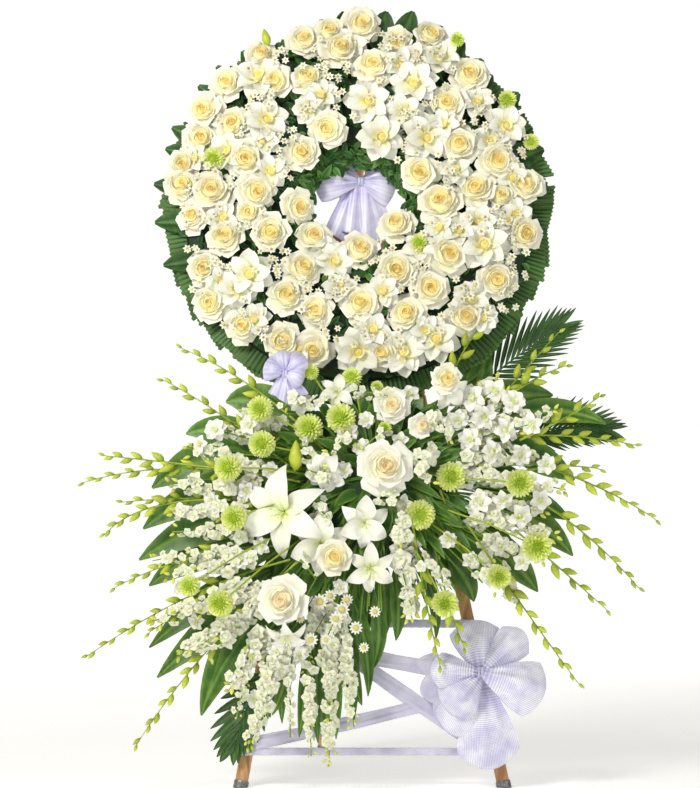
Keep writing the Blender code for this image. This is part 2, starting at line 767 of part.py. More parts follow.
def broad_leaf(angle_deg, start, end, width, layer):
    """A pointed leaf on its stalk: each section is a flat diamond, so the blade thins to its edges."""
    rings = []
    plan = ((0.0, 0.0026, 0.0026), (0.0, 0.003, 0.003), (0.32, width * 0.5, 0.0020), (0.72, width * 0.38, 0.0018))
    for i, (share, half, thick) in enumerate(plan):
        reach = HUB_INNER + 0.003 if i == 0 else start + (end - start) * share
        here = layer_place(angle_deg, reach, *layer)
        ahead = (layer_place(angle_deg, reach + 0.01, *layer) - here).normalized()
        side = Vector((ahead.z, 0.0, -ahead.x)).normalized()
        out = side.cross(ahead).normalized()
        fold = out * (half * 0.10)
        rings.append([here + side * half - fold, here + out * thick, here - side * half - fold, here - out * thick])
    rings.append([layer_place(angle_deg, end, *layer)])
    return [skin(rings)]


LEAVES_LEFT = (
    (147, 0.24, 0.44, 0.07),
    (166, 0.26, 0.50, 0.07),
    (178, 0.28, 0.52, 0.07),
    (189, 0.26, 0.53, 0.07),
    (199, 0.28, 0.55, 0.08),
    (214, 0.30, 0.62, 0.09),
    (223, 0.26, 0.50, 0.08),
)
LEAVES_RIGHT = ((26, 0.22, 0.43, 0.07), (-21, 0.24, 0.45, 0.08), (-35, 0.24, 0.44, 0.08), (-45, 0.20, 0.34, 0.07))
LEAVES_LOW = (
    (-66, 0.18, 0.34, 0.06),
    (-82, 0.20, 0.36, 0.07),
    (-91, 0.26, 0.42, 0.07),
    (-98, 0.30, 0.49, 0.07),
    (-106, 0.26, 0.46, 0.07),
    (-115, 0.24, 0.50, 0.07),
)
bunch("leaves_left", LEAVES_LEFT, broad_leaf, LEAF_LAYER, LEAF)
bunch("leaves_right", LEAVES_RIGHT, broad_leaf, LEAF_LAYER, LEAF)
bunch("leaves_low", LEAVES_LOW, broad_leaf, LEAF_LAYER, LEAF)

FROND_THICKNESS = 0.0014


def frond(name, angle_deg, start, end, half_width, teeth=9, slant=0.055):
    """A palm frond: leaflets cut to the rib in one thin arched blade, on a stalk from the foam."""
    rib = 0.003
    one_side = [(HUB_INNER, rib), (start, rib)]
    pitch = (end - start - 0.03) / teeth
    for i in range(teeth):
        share = (i + 0.5) / teeth
        reach = half_width * math.sin(math.pi * (0.16 + 0.72 * share)) ** 0.7
        base = start + pitch * i
        one_side.append((base + pitch * 0.5 + slant * (1.0 - 0.4 * share), reach))
        one_side.append((base + pitch, rib if i < teeth - 1 else rib * 0.8))
    outline = one_side + [(end, 0.0)] + [(s, -w) for s, w in reversed(one_side)]
    bm = bmesh.new()
    face = bm.faces.new([bm.verts.new((s, w, 0.0)) for s, w in outline])
    bmesh.ops.triangulate(bm, faces=[face])
    sheet = bmesh.ops.extrude_face_region(bm, geom=bm.faces[:])
    for item in sheet["geom"]:
        if isinstance(item, bmesh.types.BMVert):
            item.co.z += FROND_THICKNESS
    angle = math.radians(angle_deg)
    depth, slope, sag = FROND_LAYER
    for vert in bm.verts:
        s, w, t = vert.co
        x = SPRAY_CENTRE[0] + s * math.cos(angle) - w * math.sin(angle)
        u = SPRAY_CENTRE[1] + s * math.sin(angle) + w * math.cos(angle)
        beyond = s - FOAM_RADIUS
        vert.co = point(x, u - sag * beyond * beyond, depth + slope * beyond - abs(w) * 0.03 + t)
    return add(name, mesh_of(bm), PALM)


frond("palm_frond_top", 41.0, 0.33, 0.545, 0.075)
frond("palm_frond_right", 12.0, 0.33, 0.545, 0.080)
frond("palm_frond_low", 236.0, 0.37, 0.66, 0.075)


# The front greens: a domed bed of leaves on the foam's face, with the green button blooms on stems.
def dome_front(x, u):
    across = (x - SPRAY_CENTRE[0]) / DOME_HALF[0]
    up = (u - SPRAY_CENTRE[1]) / DOME_HALF[1]
    left = max(0.0, 1.0 - across * across - up * up)
    return FOAM_FRONT + GAP + DOME_HEIGHT * math.sqrt(left)


# Layers of leaf tips, from the back edge to the crown: share of the dome, lift, how deep the tips part.
DOME_LEAVES = (
    (0.90, 0.0, 0.06),
    (1.0, 0.22, 0.14),
    (0.72, 0.40, -0.08),
    (0.76, 0.72, 0.16),
    (0.42, 0.76, -0.08),
    (0.44, 1.0, 0.20),
)


def dome_mesh():
    sides = 16
    rings = [[point(SPRAY_CENTRE[0], SPRAY_CENTRE[1], FOAM_FRONT + GAP)]]
    for share, lift, parted in DOME_LEAVES:
        loop = []
        for i in range(sides):
            angle = 2.0 * math.pi * i / sides
            wave = 1.0 + parted * (-1) ** i
            x = SPRAY_CENTRE[0] + DOME_HALF[0] * share * wave * math.cos(angle)
            u = SPRAY_CENTRE[1] + DOME_HALF[1] * share * wave * math.sin(angle)
            loop.append(point(x, u, FOAM_FRONT + GAP + DOME_HEIGHT * lift))
        rings.append(loop)
    rings.append([point(SPRAY_CENTRE[0], SPRAY_CENTRE[1], FOAM_FRONT + DOME_HEIGHT * 0.85)])
    return skin(rings)


# Button blooms: across, height over the floor, radius.
POMPONS = (
    (-0.237, 0.801, 0.026),
    (-0.232, 0.727, 0.029),
    (-0.305, 0.672, 0.028),
    (-0.292, 0.566, 0.028),
    (-0.388, 0.423, 0.023),
    (-0.322, 0.385, 0.028),
    (-0.132, 0.761, 0.030),
    (-0.064, 0.782, 0.030),
    (-0.128, 0.866, 0.018),
    (-0.040, 0.868, 0.022),
    (0.171, 0.656, 0.032),
    (0.105, 0.575, 0.032),
    (0.318, 0.643, 0.030),
    (0.355, 0.506, 0.032),
    (0.273, 0.442, 0.027),
    (0.158, 0.385, 0.029),
)


def front_depth(x, u):
    """How far out a bloom on a stem stands: on the dome, or out past it where the stems lean forward."""
    reach = math.hypot(x - SPRAY_CENTRE[0], u - SPRAY_CENTRE[1])
    return max(dome_front(x, u), FOAM_FRONT + 0.012 + 0.30 * max(0.0, reach - 0.14))


def pompon_on_stem(x, z, radius):
    place = spot(x, z, 0.18)
    depth = front_depth(place.x, place.z) + radius * 0.7
    place = spot(x, z, depth)
    centre = point(SPRAY_CENTRE[0], SPRAY_CENTRE[1], FOAM_FRONT + 0.018)
    run = place - centre
    start = centre + run * min(0.5, 0.09 / run.length)
    axis = (run.normalized() * 0.45 + Vector((0.0, -1.0, 0.0))).normalized()
    ball = rosette(place, axis, radius, radius, POMPON, 8, draw.uniform(0.0, 1.0), -radius * 0.85)
    stem = tube([start, place], (0.0035, 0.003))
    return [stem, ball]


pieces = [dome_mesh()]
for across, height, radius in POMPONS:
    pieces.extend(pompon_on_stem(across, height, radius))
FRONT_LEAVES = (20, 62, 100, 140, 165, 195, 225, 250, 275, 300, 325, 350)
for angle_deg in FRONT_LEAVES:
    rings = []
    for reach, half, thick in ((0.13, 0.010, 0.004), (0.18, 0.022, 0.0022), (0.22, 0.020, 0.002)):
        angle = math.radians(angle_deg)
        here = around(SPRAY_CENTRE, reach, angle, FOAM_FRONT + 0.020 + 0.10 * (reach - 0.13))
        side = Vector((math.sin(angle), 0.0, -math.cos(angle)))
        out = Vector((0.0, -1.0, 0.0))
        rings.append([here + side * half, here + out * thick, here - side * half, here - out * thick])
    rings.append([around(SPRAY_CENTRE, 0.275, math.radians(angle_deg), FOAM_FRONT + 0.026)])
    pieces.append(skin(rings))
greens = add("front_greens", fused(pieces), LEAF)


# The large blooms. Each stands on the front greens, turned a little to its own side.
behind = [obj for obj in stand.objects if obj.name.startswith(("stock_", "leaves_", "bud_stems_"))]
carriers = [shape_of(obj) for obj in [greens, *flower_sectors[3:], *behind]]


LILY = ((0.0, 0.12, 0.0), (0.18, 0.22, 0.25), (0.55, 0.55, 0.45), (0.66, 0.60, 0.48), (0.42, 0.40, 0.40))
BIG_ROSE = (
    (0.0, 0.86, 0.0),
    (0.20, 1.0, 0.05),
    (0.32, 0.76, -0.08),
    (0.52, 0.90, -0.08),
    (0.66, 0.56, 0.08),
    (0.95, 0.50, 0.09),
)
# Large blooms, in the order they are set down: kind, across, height over the floor, radius, side tilt, turn.
BLOOMS = {
    "rose_centre": ("rose", 0.034, 0.675, 0.058, 0.1, 0.0),
    "rose_top_left": ("rose", 0.043, 0.808, 0.037, 0.0, 0.0),
    "rose_top_right": ("rose", 0.108, 0.765, 0.030, 0.2, 0.0),
    "rose_low": ("rose", -0.184, 0.389, 0.048, -0.2, 0.0),
    "lily_large": ("lily", -0.190, 0.595, 0.096, -0.3, 0.0),
    "lily_low_left": ("lily", -0.107, 0.515, 0.064, -0.2, 0.3),
    "lily_middle": ("lily", -0.012, 0.562, 0.050, 0.0, 0.0),
    "lily_low_middle": ("lily", -0.004, 0.466, 0.056, 0.1, 0.2),
    "lily_drooping": ("lily", -0.180, 0.312, 0.050, -0.1, 0.1),
    "star_bloom_left": ("lily", -0.100, 0.670, 0.038, -0.1, 0.2),
    "star_bloom_top": ("lily", -0.073, 0.835, 0.038, -0.1, 0.0),
    "star_bloom_right": ("lily", 0.160, 0.850, 0.045, 0.3, 0.1),
}


def bloom_mesh(kind, x, z, radius, tilt, turn):
    first = spot(x, z, 0.2)
    foot = spot(x, z, front_depth(first.x, first.z) + 0.10)
    up = Vector((tilt, -1.0, 0.1 * (1 if z > 0.65 else -1))).normalized()
    if kind == "rose":
        return rosette(foot, up, radius, radius * 0.85, BIG_ROSE, 10, turn)
    return rosette(foot, up, radius, radius * 0.75, LILY, 12, turn)


for name, bloom in BLOOMS.items():
    mesh = set_down(bloom_mesh(*bloom), carriers)
    carriers.append(shape_of(add(name, mesh, PETAL if name.startswith("rose") else WHITE)))

# The satin bow where the wreath meets the spray lies on the wreath's lowest flowers.
SIDE_BOW_LOBES = ((165, 0.046, 0.050), (40, 0.056, 0.040), (-20, 0.038, 0.040), (-100, 0.046, 0.046))
side_bow = bow("side_bow", spot(-0.186, 0.880, 0.30), SIDE_BOW_LOBES, 0.034, 0.012, SATIN)
set_down(side_bow.data, carriers)


# The whole stand is moved so that the middle of its box is over the origin and its feet are at zero.
def centre_over_origin():
    bpy.context.view_layer.update()
    graph = bpy.context.evaluated_depsgraph_get()
    places = []
    for obj in stand.objects:
        if obj.type == "MESH":
            shown = obj.evaluated_get(graph)
            places.extend(shown.matrix_world @ vert.co for vert in shown.data.vertices)
    middle = [(min(p[i] for p in places) + max(p[i] for p in places)) / 2 for i in (0, 1)]
    root.location = (-middle[0], -middle[1], 0.0)


centre_over_origin()
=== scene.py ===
import math
import random

import bpy
import numpy as np
from mathutils import Matrix, Vector


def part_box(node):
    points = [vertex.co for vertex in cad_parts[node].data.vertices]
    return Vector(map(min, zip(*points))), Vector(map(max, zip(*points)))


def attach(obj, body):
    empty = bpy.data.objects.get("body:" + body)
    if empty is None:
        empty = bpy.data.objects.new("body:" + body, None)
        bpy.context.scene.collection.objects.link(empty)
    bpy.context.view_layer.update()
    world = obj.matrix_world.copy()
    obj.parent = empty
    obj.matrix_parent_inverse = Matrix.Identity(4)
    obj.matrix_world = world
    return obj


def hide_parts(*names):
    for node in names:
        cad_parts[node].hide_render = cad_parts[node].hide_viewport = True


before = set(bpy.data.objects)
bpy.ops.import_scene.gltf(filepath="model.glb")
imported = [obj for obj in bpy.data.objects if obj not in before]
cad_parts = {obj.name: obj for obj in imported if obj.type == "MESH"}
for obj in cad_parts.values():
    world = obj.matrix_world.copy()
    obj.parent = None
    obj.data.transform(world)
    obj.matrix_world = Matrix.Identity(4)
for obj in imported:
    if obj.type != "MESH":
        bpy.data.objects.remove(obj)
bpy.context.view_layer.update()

dice = random.Random(21)


# The studio: a pale floor under the three feet, a large soft window light
# from the upper left and a fill from the right, and a long lens at the height
# of the flowers, some seven metres in front of them.
PIXEL = 0.002137  # metres of the stand that one pixel of the picture covers
SHIFT = Vector((0.0031, -0.2145, 0.0))  # where the front plane's foot line lies
LEAN = math.radians(12.0)
LENS_AWAY = 7.0
PICTURE_HEIGHT = 788
CENTRE_X, CENTRE_Y = 350, 394  # the picture's middle, in pixels
STAND_X, FLOOR_Y = 371, 784  # the pixel midway between the front feet

camera = bpy.data.objects.new("camera", bpy.data.cameras.new("camera"))
bpy.context.scene.collection.objects.link(camera)
camera.data.sensor_width = 36.0
camera.data.lens = camera.data.sensor_width * LENS_AWAY / (PICTURE_HEIGHT * PIXEL)
middle = Vector(((CENTRE_X - STAND_X) * PIXEL + SHIFT.x, -0.15, (FLOOR_Y - CENTRE_Y) * PIXEL))
camera.location = middle + Vector((0.0, -LENS_AWAY, 0.10))
camera.rotation_euler = (middle - camera.location).to_track_quat("-Z", "Y").to_euler()
bpy.context.scene.camera = camera


def node(tree, kind, links=(), **settings):
    """A shader node with its settings, and the sockets that feed it."""
    made = tree.nodes.new(kind)
    for key, value in settings.items():
        setattr(made, key, value)
    for socket, source in links:
        if isinstance(source, bpy.types.NodeSocket):
            tree.links.new(source, made.inputs[socket])
        else:
            made.inputs[socket].default_value = source
    return made


def ranged(tree, value, low, high, start=0.0, end=1.0):
    """Carries a value that runs from start to end over to low to high."""
    links = [("Value", value), ("From Min", start), ("From Max", end), ("To Min", low), ("To Max", high)]
    return node(tree, "ShaderNodeMapRange", links).outputs[0]


def soft_light(name, place, aim, size, watts):
    lamp = bpy.data.lights.new(name, "AREA")
    lamp.shape, lamp.size, lamp.energy = "DISK", size, watts
    lamp.color = (1.0, 0.968, 0.885)
    holder = bpy.data.objects.new(name, lamp)
    bpy.context.scene.collection.objects.link(holder)
    holder.location = place
    holder.rotation_euler = (Vector(aim) - Vector(place)).to_track_quat("-Z", "Y").to_euler()


soft_light("window_light", (-2.3, -3.2, 3.2), (0.0, 0.0, 0.8), 1.4, 130)
soft_light("fill_light", (3.2, -3.0, 1.8), (0.0, 0.0, 0.8), 2.6, 16)
soft_light("back_light", (0.6, 2.6, 3.4), (0.0, 0.0, 1.0), 2.0, 36)
# The studio's walls are white up to about two metres and dim above that.
world = bpy.data.worlds.new("studio_air")
world.use_nodes = True
air = world.node_tree
height = node(air, "ShaderNodeSeparateXYZ", [(0, node(air, "ShaderNodeTexCoord").outputs["Generated"])])
walls = ranged(air, height.outputs["Z"], 1.02, 0.20, 0.14, 0.26)
air.links.new(walls, air.nodes["Background"].inputs["Strength"])
air.nodes["Background"].inputs["Color"].default_value = (1.0, 0.995, 0.98, 1.0)
bpy.context.scene.world = world
bpy.context.scene.view_settings.view_transform = "Standard"

floor_mesh = bpy.data.meshes.new("floor")
FLOOR_REACH, FLOOR_SIDES = 30, 48
edge = []
for i in range(FLOOR_SIDES):
    angle = 2 * math.pi * i / FLOOR_SIDES
    edge.append((FLOOR_REACH * math.cos(angle), FLOOR_REACH * math.sin(angle), 0.0))
floor_mesh.from_pydata(edge, [], [list(range(FLOOR_SIDES))])
floor = bpy.data.objects.new("floor", floor_mesh)
bpy.context.scene.collection.objects.link(floor)
pale = bpy.data.materials.new("pale_floor")
pale.use_nodes = True
paper = pale.node_tree.nodes["Principled BSDF"]
paper.inputs["Base Color"].default_value = (0.88, 0.88, 0.88, 1)
paper.inputs["Roughness"].default_value = 0.75
paper.inputs["Emission Color"].default_value = (1.0, 1.0, 1.0, 1)
# The paper glows with painted light of its own, faintly under the stand and brightly further out.
on_paper = node(pale.node_tree, "ShaderNodeTexCoord").outputs["Object"]
spread = node(pale.node_tree, "ShaderNodeVectorMath", [(0, on_paper)], operation="LENGTH")
painted_glow = ranged(pale.node_tree, spread.outputs["Value"], 0.40, 0.80, 0.9, 4.5)
pale.node_tree.links.new(painted_glow, paper.inputs["Emission Strength"])
floor_mesh.materials.append(pale)


# The three poles: peeled spruce poles that lean together, bolted at the
# top, stained light orange-brown. The grain runs along each pole, with soft
# darker streaks.
def finish_of(name, roughness):
    """A new material with its shader, ready for the nodes of its finish."""
    material = bpy.data.materials.new(name)
    material.use_nodes = True
    shader = material.node_tree.nodes["Principled BSDF"]
    shader.inputs["Roughness"].default_value = roughness
    return material, material.node_tree, shader


def grained(tree, scale, detail, turned=None, distortion=0.0):
    """Soft noise over the object's own coordinates, stretched by scale."""
    place = node(tree, "ShaderNodeTexCoord").outputs["Object"]
    if turned is not None:
        place = node(tree, "ShaderNodeMapping", [("Vector", place), ("Rotation", turned)]).outputs[0]
    stretched = node(tree, "ShaderNodeMapping", [("Vector", place), ("Scale", scale)])
    return node(
        tree,
        "ShaderNodeTexNoise",
        [("Vector", stretched.outputs[0]), ("Scale", 1.0), ("Detail", detail), ("Distortion", distortion)],
    ).outputs["Fac"]


def ramp(tree, factor, stops):
    """Colours along a value, given as (place, colour) pairs."""
    made = node(tree, "ShaderNodeValToRGB", [("Fac", factor)])
    bands = made.color_ramp.elements
    while len(bands) < len(stops):
        bands.new(0.5)
    for band, (place, colour) in zip(bands, stops):
        band.position, band.color = place, (*colour, 1.0)
    return made.outputs["Color"]


def toned(tree, value, share, base):
    """Adds a share of one value to another."""
    return node(
        tree, "ShaderNodeMath", [(0, value), (1, share), (2, base)], operation="MULTIPLY_ADD"
    ).outputs[0]


def bumped(tree, shader, height, strength, distance):
    relief = node(
        tree, "ShaderNodeBump", [("Height", height), ("Strength", strength), ("Distance", distance)]
    )
    tree.links.new(relief.outputs["Normal"], shader.inputs["Normal"])


def stained_wood(name, lean):
    """Wood whose grain follows a pole that leans by these angles."""
    material, tree, shader = finish_of(name, 0.48)
    grain = grained(tree, (150.0, 150.0, 5.0), 5.0, lean, 0.6)
    streaks = grained(tree, (26.0, 26.0, 1.6), 2.0, lean, 1.2)
    blend = toned(tree, grain, streaks, streaks)
    colour = ramp(
        tree,
        blend,
        [
            (0.42, (0.24, 0.10, 0.035)), (0.66, (0.47, 0.24, 0.095)), (0.86, (0.63, 0.36, 0.16)),
            (1.0, (0.70, 0.44, 0.22)),
        ],
    )
    tree.links.new(colour, shader.inputs["Base Color"])
    bumped(tree, shader, grain, 0.25, 0.001)
    return material


def dress(name, *materials):
    """Gives a carried-over CAD piece its finish."""
    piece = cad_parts[name]
    piece.data.materials.clear()
    for material in materials:
        piece.data.materials.append(material)
    return piece


POLE_TURNS = {
    "front_leg_left": (0.21, 0.17, 0.0),
    "front_leg_right": (0.21, -0.21, 0.0),
    "rear_leg": (-0.26, 0.03, 0.0),
}
for pole, turn in POLE_TURNS.items():
    dress(pole, stained_wood(pole + "_wood", turn))


# Foot caps and the top bolt: small pressed caps of blackened steel on the
# ends of the poles, scuffed where they stand on the ground, and the bolt that
# the three poles are hung on.
def scuffed_steel():
    material, tree, shader = finish_of("scuffed_steel", 0.42)
    shader.inputs["Metallic"].default_value = 0.75
    wear = grained(tree, (90.0, 90.0, 90.0), 4.0)
    colour = ramp(
        tree, wear, [(0.35, (0.10, 0.10, 0.11)), (0.60, (0.24, 0.24, 0.25)), (0.8, (0.50, 0.49, 0.48))]
    )
    tree.links.new(colour, shader.inputs["Base Color"])
    tree.links.new(ranged(tree, wear, 0.3, 0.62), shader.inputs["Roughness"])
    bumped(tree, shader, wear, 0.3, 0.0008)
    return material


steel = scuffed_steel()
for cap in ("front_foot_cap_left", "front_foot_cap_right", "rear_foot_cap", "apex_bolt"):
    dress(cap, steel)


# The wreath's fringe: blades of palm leaf folded into fans of narrow pleats and
# cut off slantwise, pinned side by side round the back of the straw ring, so
# that a border of dark green stands out past the flowers all round.
FRONT = Matrix.Translation(SHIFT) @ Matrix.Rotation(-LEAN, 4, "X")
TO_FRONT = FRONT.inverted()


def on_front(x, u, d):
    """A place in the plane of the front poles: across, up along it, and out of its face."""
    return FRONT @ Vector((x, -d, u))


def looking(x, u):
    """The way a bloom looks out of the front plane when it leans across and up by these."""
    return on_front(x, u, 1.0) - on_front(0, 0, 0)


def seen_at(px, py, d):
    """The place at depth d that the lens sees at a pixel of the picture."""
    eye = TO_FRONT @ camera.location
    aim = TO_FRONT @ (middle + Vector(((px - CENTRE_X) * PIXEL, 0.0, (CENTRE_Y - py) * PIXEL)))
    ray = aim - eye
    return FRONT @ (eye + ray * ((-d - eye.y) / ray.y))


def pile():
    return {"points": [], "faces": [], "tints": [], "count": 0}


def lay(heap, grid, tint, turn=None, across=1.0, closed=False):
    """Adds a sheet, given as rows of points with a tint for each, to a pile of the same finish."""
    rows, columns = grid.shape[:2]
    points = grid.reshape(-1, 3)
    if turn is not None:
        turn = np.array(turn)
        points = points @ turn[:3, :3].T + turn[:3, 3]
    places = np.arange(rows * columns).reshape(rows, columns) + heap["count"]
    if closed:
        places = np.concatenate([places, places[:, :1]], axis=1)
    low, high = places[:-1], places[1:]
    faces = np.stack([low[:, :-1], low[:, 1:], high[:, 1:], high[:, :-1]], -1).reshape(-1, 4)
    heap["points"].append(points)
    heap["faces"].append(faces)
    tints = np.empty((rows * columns, 2))
    tints[:, 0] = np.broadcast_to(tint, (rows, columns)).reshape(-1)
    tints[:, 1] = across
    heap["tints"].append(tints)
    heap["count"] += rows * columns


def piece_from(heap, name, material, slot, *nodes):
    """Makes the pile one piece of the stand that replaces these solids."""
    points = np.concatenate(heap["points"])
    faces = np.concatenate(heap["faces"])
    tints = np.concatenate(heap["tints"])
    mesh = bpy.data.meshes.new(name)
    mesh.from_pydata(points.tolist(), [], faces.tolist())
    for column, layer in enumerate(("tint", "vary")):
        mesh.attributes.new(layer, "FLOAT", "POINT").data.foreach_set(
            "value", tints[:, column].astype(np.float32)
        )
    mesh.shade_smooth()
    mesh.materials.append(material)
    piece = bpy.data.objects.new(name, mesh)
    bpy.context.scene.collection.objects.link(piece)
    if nodes:
        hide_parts(*nodes)
    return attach(piece, "root")


def facing(place, out, turn=0.0, size=1.0):
    """Where a bloom stands: its eye looks along out, turned about that line, at this size."""
    z = Vector(out).normalized()
    x = Vector((0.0, 0.0, 1.0)).cross(z)
    x = x.normalized() if x.length > 0.05 else Vector((1.0, 0.0, 0.0))
    y = z.cross(x)
    frame_of = Matrix((x, y, z)).transposed().to_4x4()
    return Matrix.Translation(place) @ frame_of @ Matrix.Rotation(turn, 4, "Z") @ Matrix.Scale(size, 4)


def tinted(tree, layer="tint"):
    return node(tree, "ShaderNodeAttribute", attribute_name=layer).outputs["Fac"]


def varied(tree, shader, colour, darkest, lightest):
    """Gives a skin its colour, darker or lighter for each leaf or petal."""
    shade = ranged(tree, tinted(tree, "vary"), darkest, lightest)
    mixed = node(tree, "ShaderNodeHueSaturation", [("Color", colour), ("Value", shade)])
    tree.links.new(mixed.outputs[0], shader.inputs["Base Color"])


def leaf_green(name, dark, middle_green, light, roughness, rib_scale=260.0):
    """A leaf's skin: tint 0 is painted shade deep between the leaves, 1 painted light at their edges."""
    material, tree, shader = finish_of(name, roughness)
    cloud = grained(tree, (34.0, 34.0, 34.0), 3.0)
    fine = grained(tree, (rib_scale, rib_scale, rib_scale * 0.2), 3.0)
    tone = toned(tree, fine, 0.22, toned(tree, cloud, 0.35, tinted(tree)))
    varied(tree, shader, ramp(tree, tone, [(0.20, dark), (0.66, middle_green), (1.0, light)]), 0.72, 1.25)
    shader.inputs["Specular IOR Level"].default_value = 0.28
    bumped(tree, shader, fine, 0.25, 0.0012)
    return material


WREATH_MIDDLE = (-0.026, 1.239)
WREATH_REACH = 0.419
HOLE_REACH = 0.098
FRINGE_DEPTH = 0.0712
palm_skin = leaf_green("palm_skin", (0.007, 0.026, 0.007), (0.018, 0.066, 0.014), (0.085, 0.18, 0.045), 0.42)


def on_wreath(r, angle, d):
    return on_front(WREATH_MIDDLE[0] + r * math.cos(angle), WREATH_MIDDLE[1] + r * math.sin(angle), d)


def palm_fan(heap, angle, spread, reach, folds, depth, slant, tone):
    """One fan of pleats from the ring outwards, its end cut slantwise and each pleat's end a small point."""
    columns = 2 * folds + 1
    grid = np.zeros((6, columns, 3))
    tint = np.zeros((6, columns))
    for j in range(columns):
        side = j / (columns - 1) - 0.5
        fold = j % 2
        end = reach + slant * side + 0.0035 * fold
        for i in range(6):
            share = i / 5
            r = 0.262 + (end - 0.262) * share
            rise = 0.0042 * fold * (0.4 + 0.6 * share) - 0.010 * share * share * abs(side)
            grid[i, j] = on_wreath(r, angle + spread * side * (0.9 + 0.1 * share), depth + rise)
            # Painted light and shade: each pleat's raised ridge is painted lighter and its valley darker, and
            # the cut end is painted as a lit edge.
            tint[i, j] = 0.10 + 0.62 * fold + 0.10 * share + 0.25 * (share > 0.97)
    lay(heap, grid, tint, across=tone)


for k in range(6):
    fringe = pile()
    for fan in range(5):
        for layer in (0, 1):
            angle = math.radians(60 * k + 12 * (fan + 0.5 * layer) + 3 + dice.uniform(-2, 2))
            reach = WREATH_REACH + 0.004 - 0.004 * layer - dice.uniform(0.0, 0.006)
            palm_fan(
                fringe,
                angle,
                math.radians(dice.uniform(11.0, 14.5)),
                reach,
                9,
                FRINGE_DEPTH + 0.0045 * layer,
                dice.choice((-1, 1)) * dice.uniform(0.008, 0.026),
                dice.uniform(0.1, 0.9),
            )
    piece_from(fringe, f"palm_fringe_fans_{k + 1}", palm_skin, "palm_leaf", f"palm_fringe_{k + 1}")


# The straw ring and the foam block: the flowers' stems are pushed into them.
# Straw bound round with thread behind the wreath, and a green block of wet
# floral foam behind the spray, both seen only from the back.
def bound_straw():
    material, tree, shader = finish_of("bound_straw", 0.85)
    stalks = grained(tree, (60.0, 60.0, 320.0), 4.0, (0.0, 0.5, 0.0), 0.4)
    colour = ramp(
        tree, stalks, [(0.3, (0.07, 0.06, 0.02)), (0.55, (0.22, 0.19, 0.07)), (0.75, (0.40, 0.34, 0.15))]
    )
    tree.links.new(colour, shader.inputs["Base Color"])
    bumped(tree, shader, stalks, 0.7, 0.003)
    return material


def wet_foam():
    material, tree, shader = finish_of("wet_foam", 0.9)
    pores = grained(tree, (420.0, 420.0, 420.0), 2.0)
    colour = ramp(
        tree, pores, [(0.3, (0.012, 0.05, 0.012)), (0.6, (0.045, 0.13, 0.035)), (0.8, (0.07, 0.19, 0.05))]
    )
    tree.links.new(colour, shader.inputs["Base Color"])
    bumped(tree, shader, pores, 0.5, 0.001)
    return material


dress("wreath_foam_ring", bound_straw())
dress("spray_foam_block", wet_foam())
dress("spray_crossbar", stained_wood("crossbar_wood", (0.0, math.radians(90), 0.0)))


# The wreath's bed: short sprigs of small dark leaves pushed into the ring all
# round, which fill the hole's edge and show as dark green between the flowers,
# over a dome painted the darkest green as painted shade.
def bed_front(r):
    """How far out the leaf bed stands at a radius: a low dome between hole and rim."""
    return 0.096 + 0.024 * (1.0 - ((r - 0.243) / 0.145) ** 2)


def sheet(rows, columns, place):
    """A grid of points: place gives each one from its share along and its side across, -1 to 1."""
    sides = [2.0 * j / columns - 1.0 for j in range(columns + 1)]
    return np.array([[place(i / rows, side) for side in sides] for i in range(rows + 1)])


def small_leaf(length, width, fold, bend):
    """A pointed leaf along +Y from its stalk, folded along its midrib and bent over."""

    def place(share, side):
        half = width / 2 * (math.sin(math.pi * min(1.0, share * 0.97 + 0.03)) ** 0.75) * (1.15 - 0.4 * share)
        return side * half, length * share, abs(side) * half * fold - bend * length * share * share

    return sheet(6, 4, place)


def leaf_tint(grid, base):
    rows, columns = grid.shape[:2]
    side = np.abs(np.linspace(-1, 1, columns))[None, :]
    along = np.linspace(0, 1, rows)[:, None]
    # Each leaf is painted lighter towards its edges and tip as painted light, on a base tone that differs at
    # random.
    return base + 0.30 * side + 0.15 * along


def wreath_ring(r, depth):
    return [on_wreath(r, 2 * math.pi * i / 60, depth) for i in range(60)]


def any_turn():
    return dice.uniform(0, 6.3)


bed_green = leaf_green("bed_green", (0.006, 0.022, 0.006), (0.022, 0.085, 0.016), (0.11, 0.24, 0.05), 0.5)
bed = pile()
rings_of_bed = []
for r in (HOLE_REACH + 0.012, 0.14, 0.20, 0.26, 0.32, 0.372):
    front = bed_front(min(r, 0.36)) - 0.016
    rings_of_bed.append(wreath_ring(r, front))
rings_of_bed.insert(0, wreath_ring(HOLE_REACH + 0.006, 0.082))
rings_of_bed.append(wreath_ring(0.378, 0.084))
rings_of_bed.append(wreath_ring(0.24, 0.082))
rings_of_bed.append(rings_of_bed[0])
# The dome under the sprigs takes tint 0 and a low vary: the darkest green, painted shade between the leaves.
lay(bed, np.array(rings_of_bed), 0.0, closed=True, across=0.2)
leaf_kinds = [
    small_leaf(0.026, 0.014, 0.35, 0.15),
    small_leaf(0.032, 0.015, 0.25, 0.3),
    small_leaf(0.022, 0.013, 0.5, 0.0),
]
for i in range(2300):
    angle = dice.uniform(0.0, 2.0 * math.pi)
    r = HOLE_REACH + (0.375 - HOLE_REACH) * math.sqrt(dice.random()) if i % 3 else dice.uniform(0.104, 0.150)
    place = on_wreath(r, angle, bed_front(min(r, 0.37)) - dice.uniform(0.006, 0.018))
    inward = -0.7 if r < 0.13 else (0.8 if r > 0.34 else 0.0)
    out = looking(math.cos(angle) * inward, math.sin(angle) * inward)
    out += Vector((dice.uniform(-0.6, 0.6), dice.uniform(-0.1, 0.3), dice.uniform(-0.6, 0.6)))
    leaf = dice.choice(leaf_kinds)
    lay(
        bed,
        leaf,
        leaf_tint(leaf, dice.uniform(0.05, 0.4)),
        facing(place, out, any_turn(), dice.uniform(0.8, 1.2)),
        dice.random(),
    )
piece_from(bed, "wreath_leaf_bed", bed_green, "green_leaf", *[f"wreath_flowers_{k + 1}" for k in range(6)])


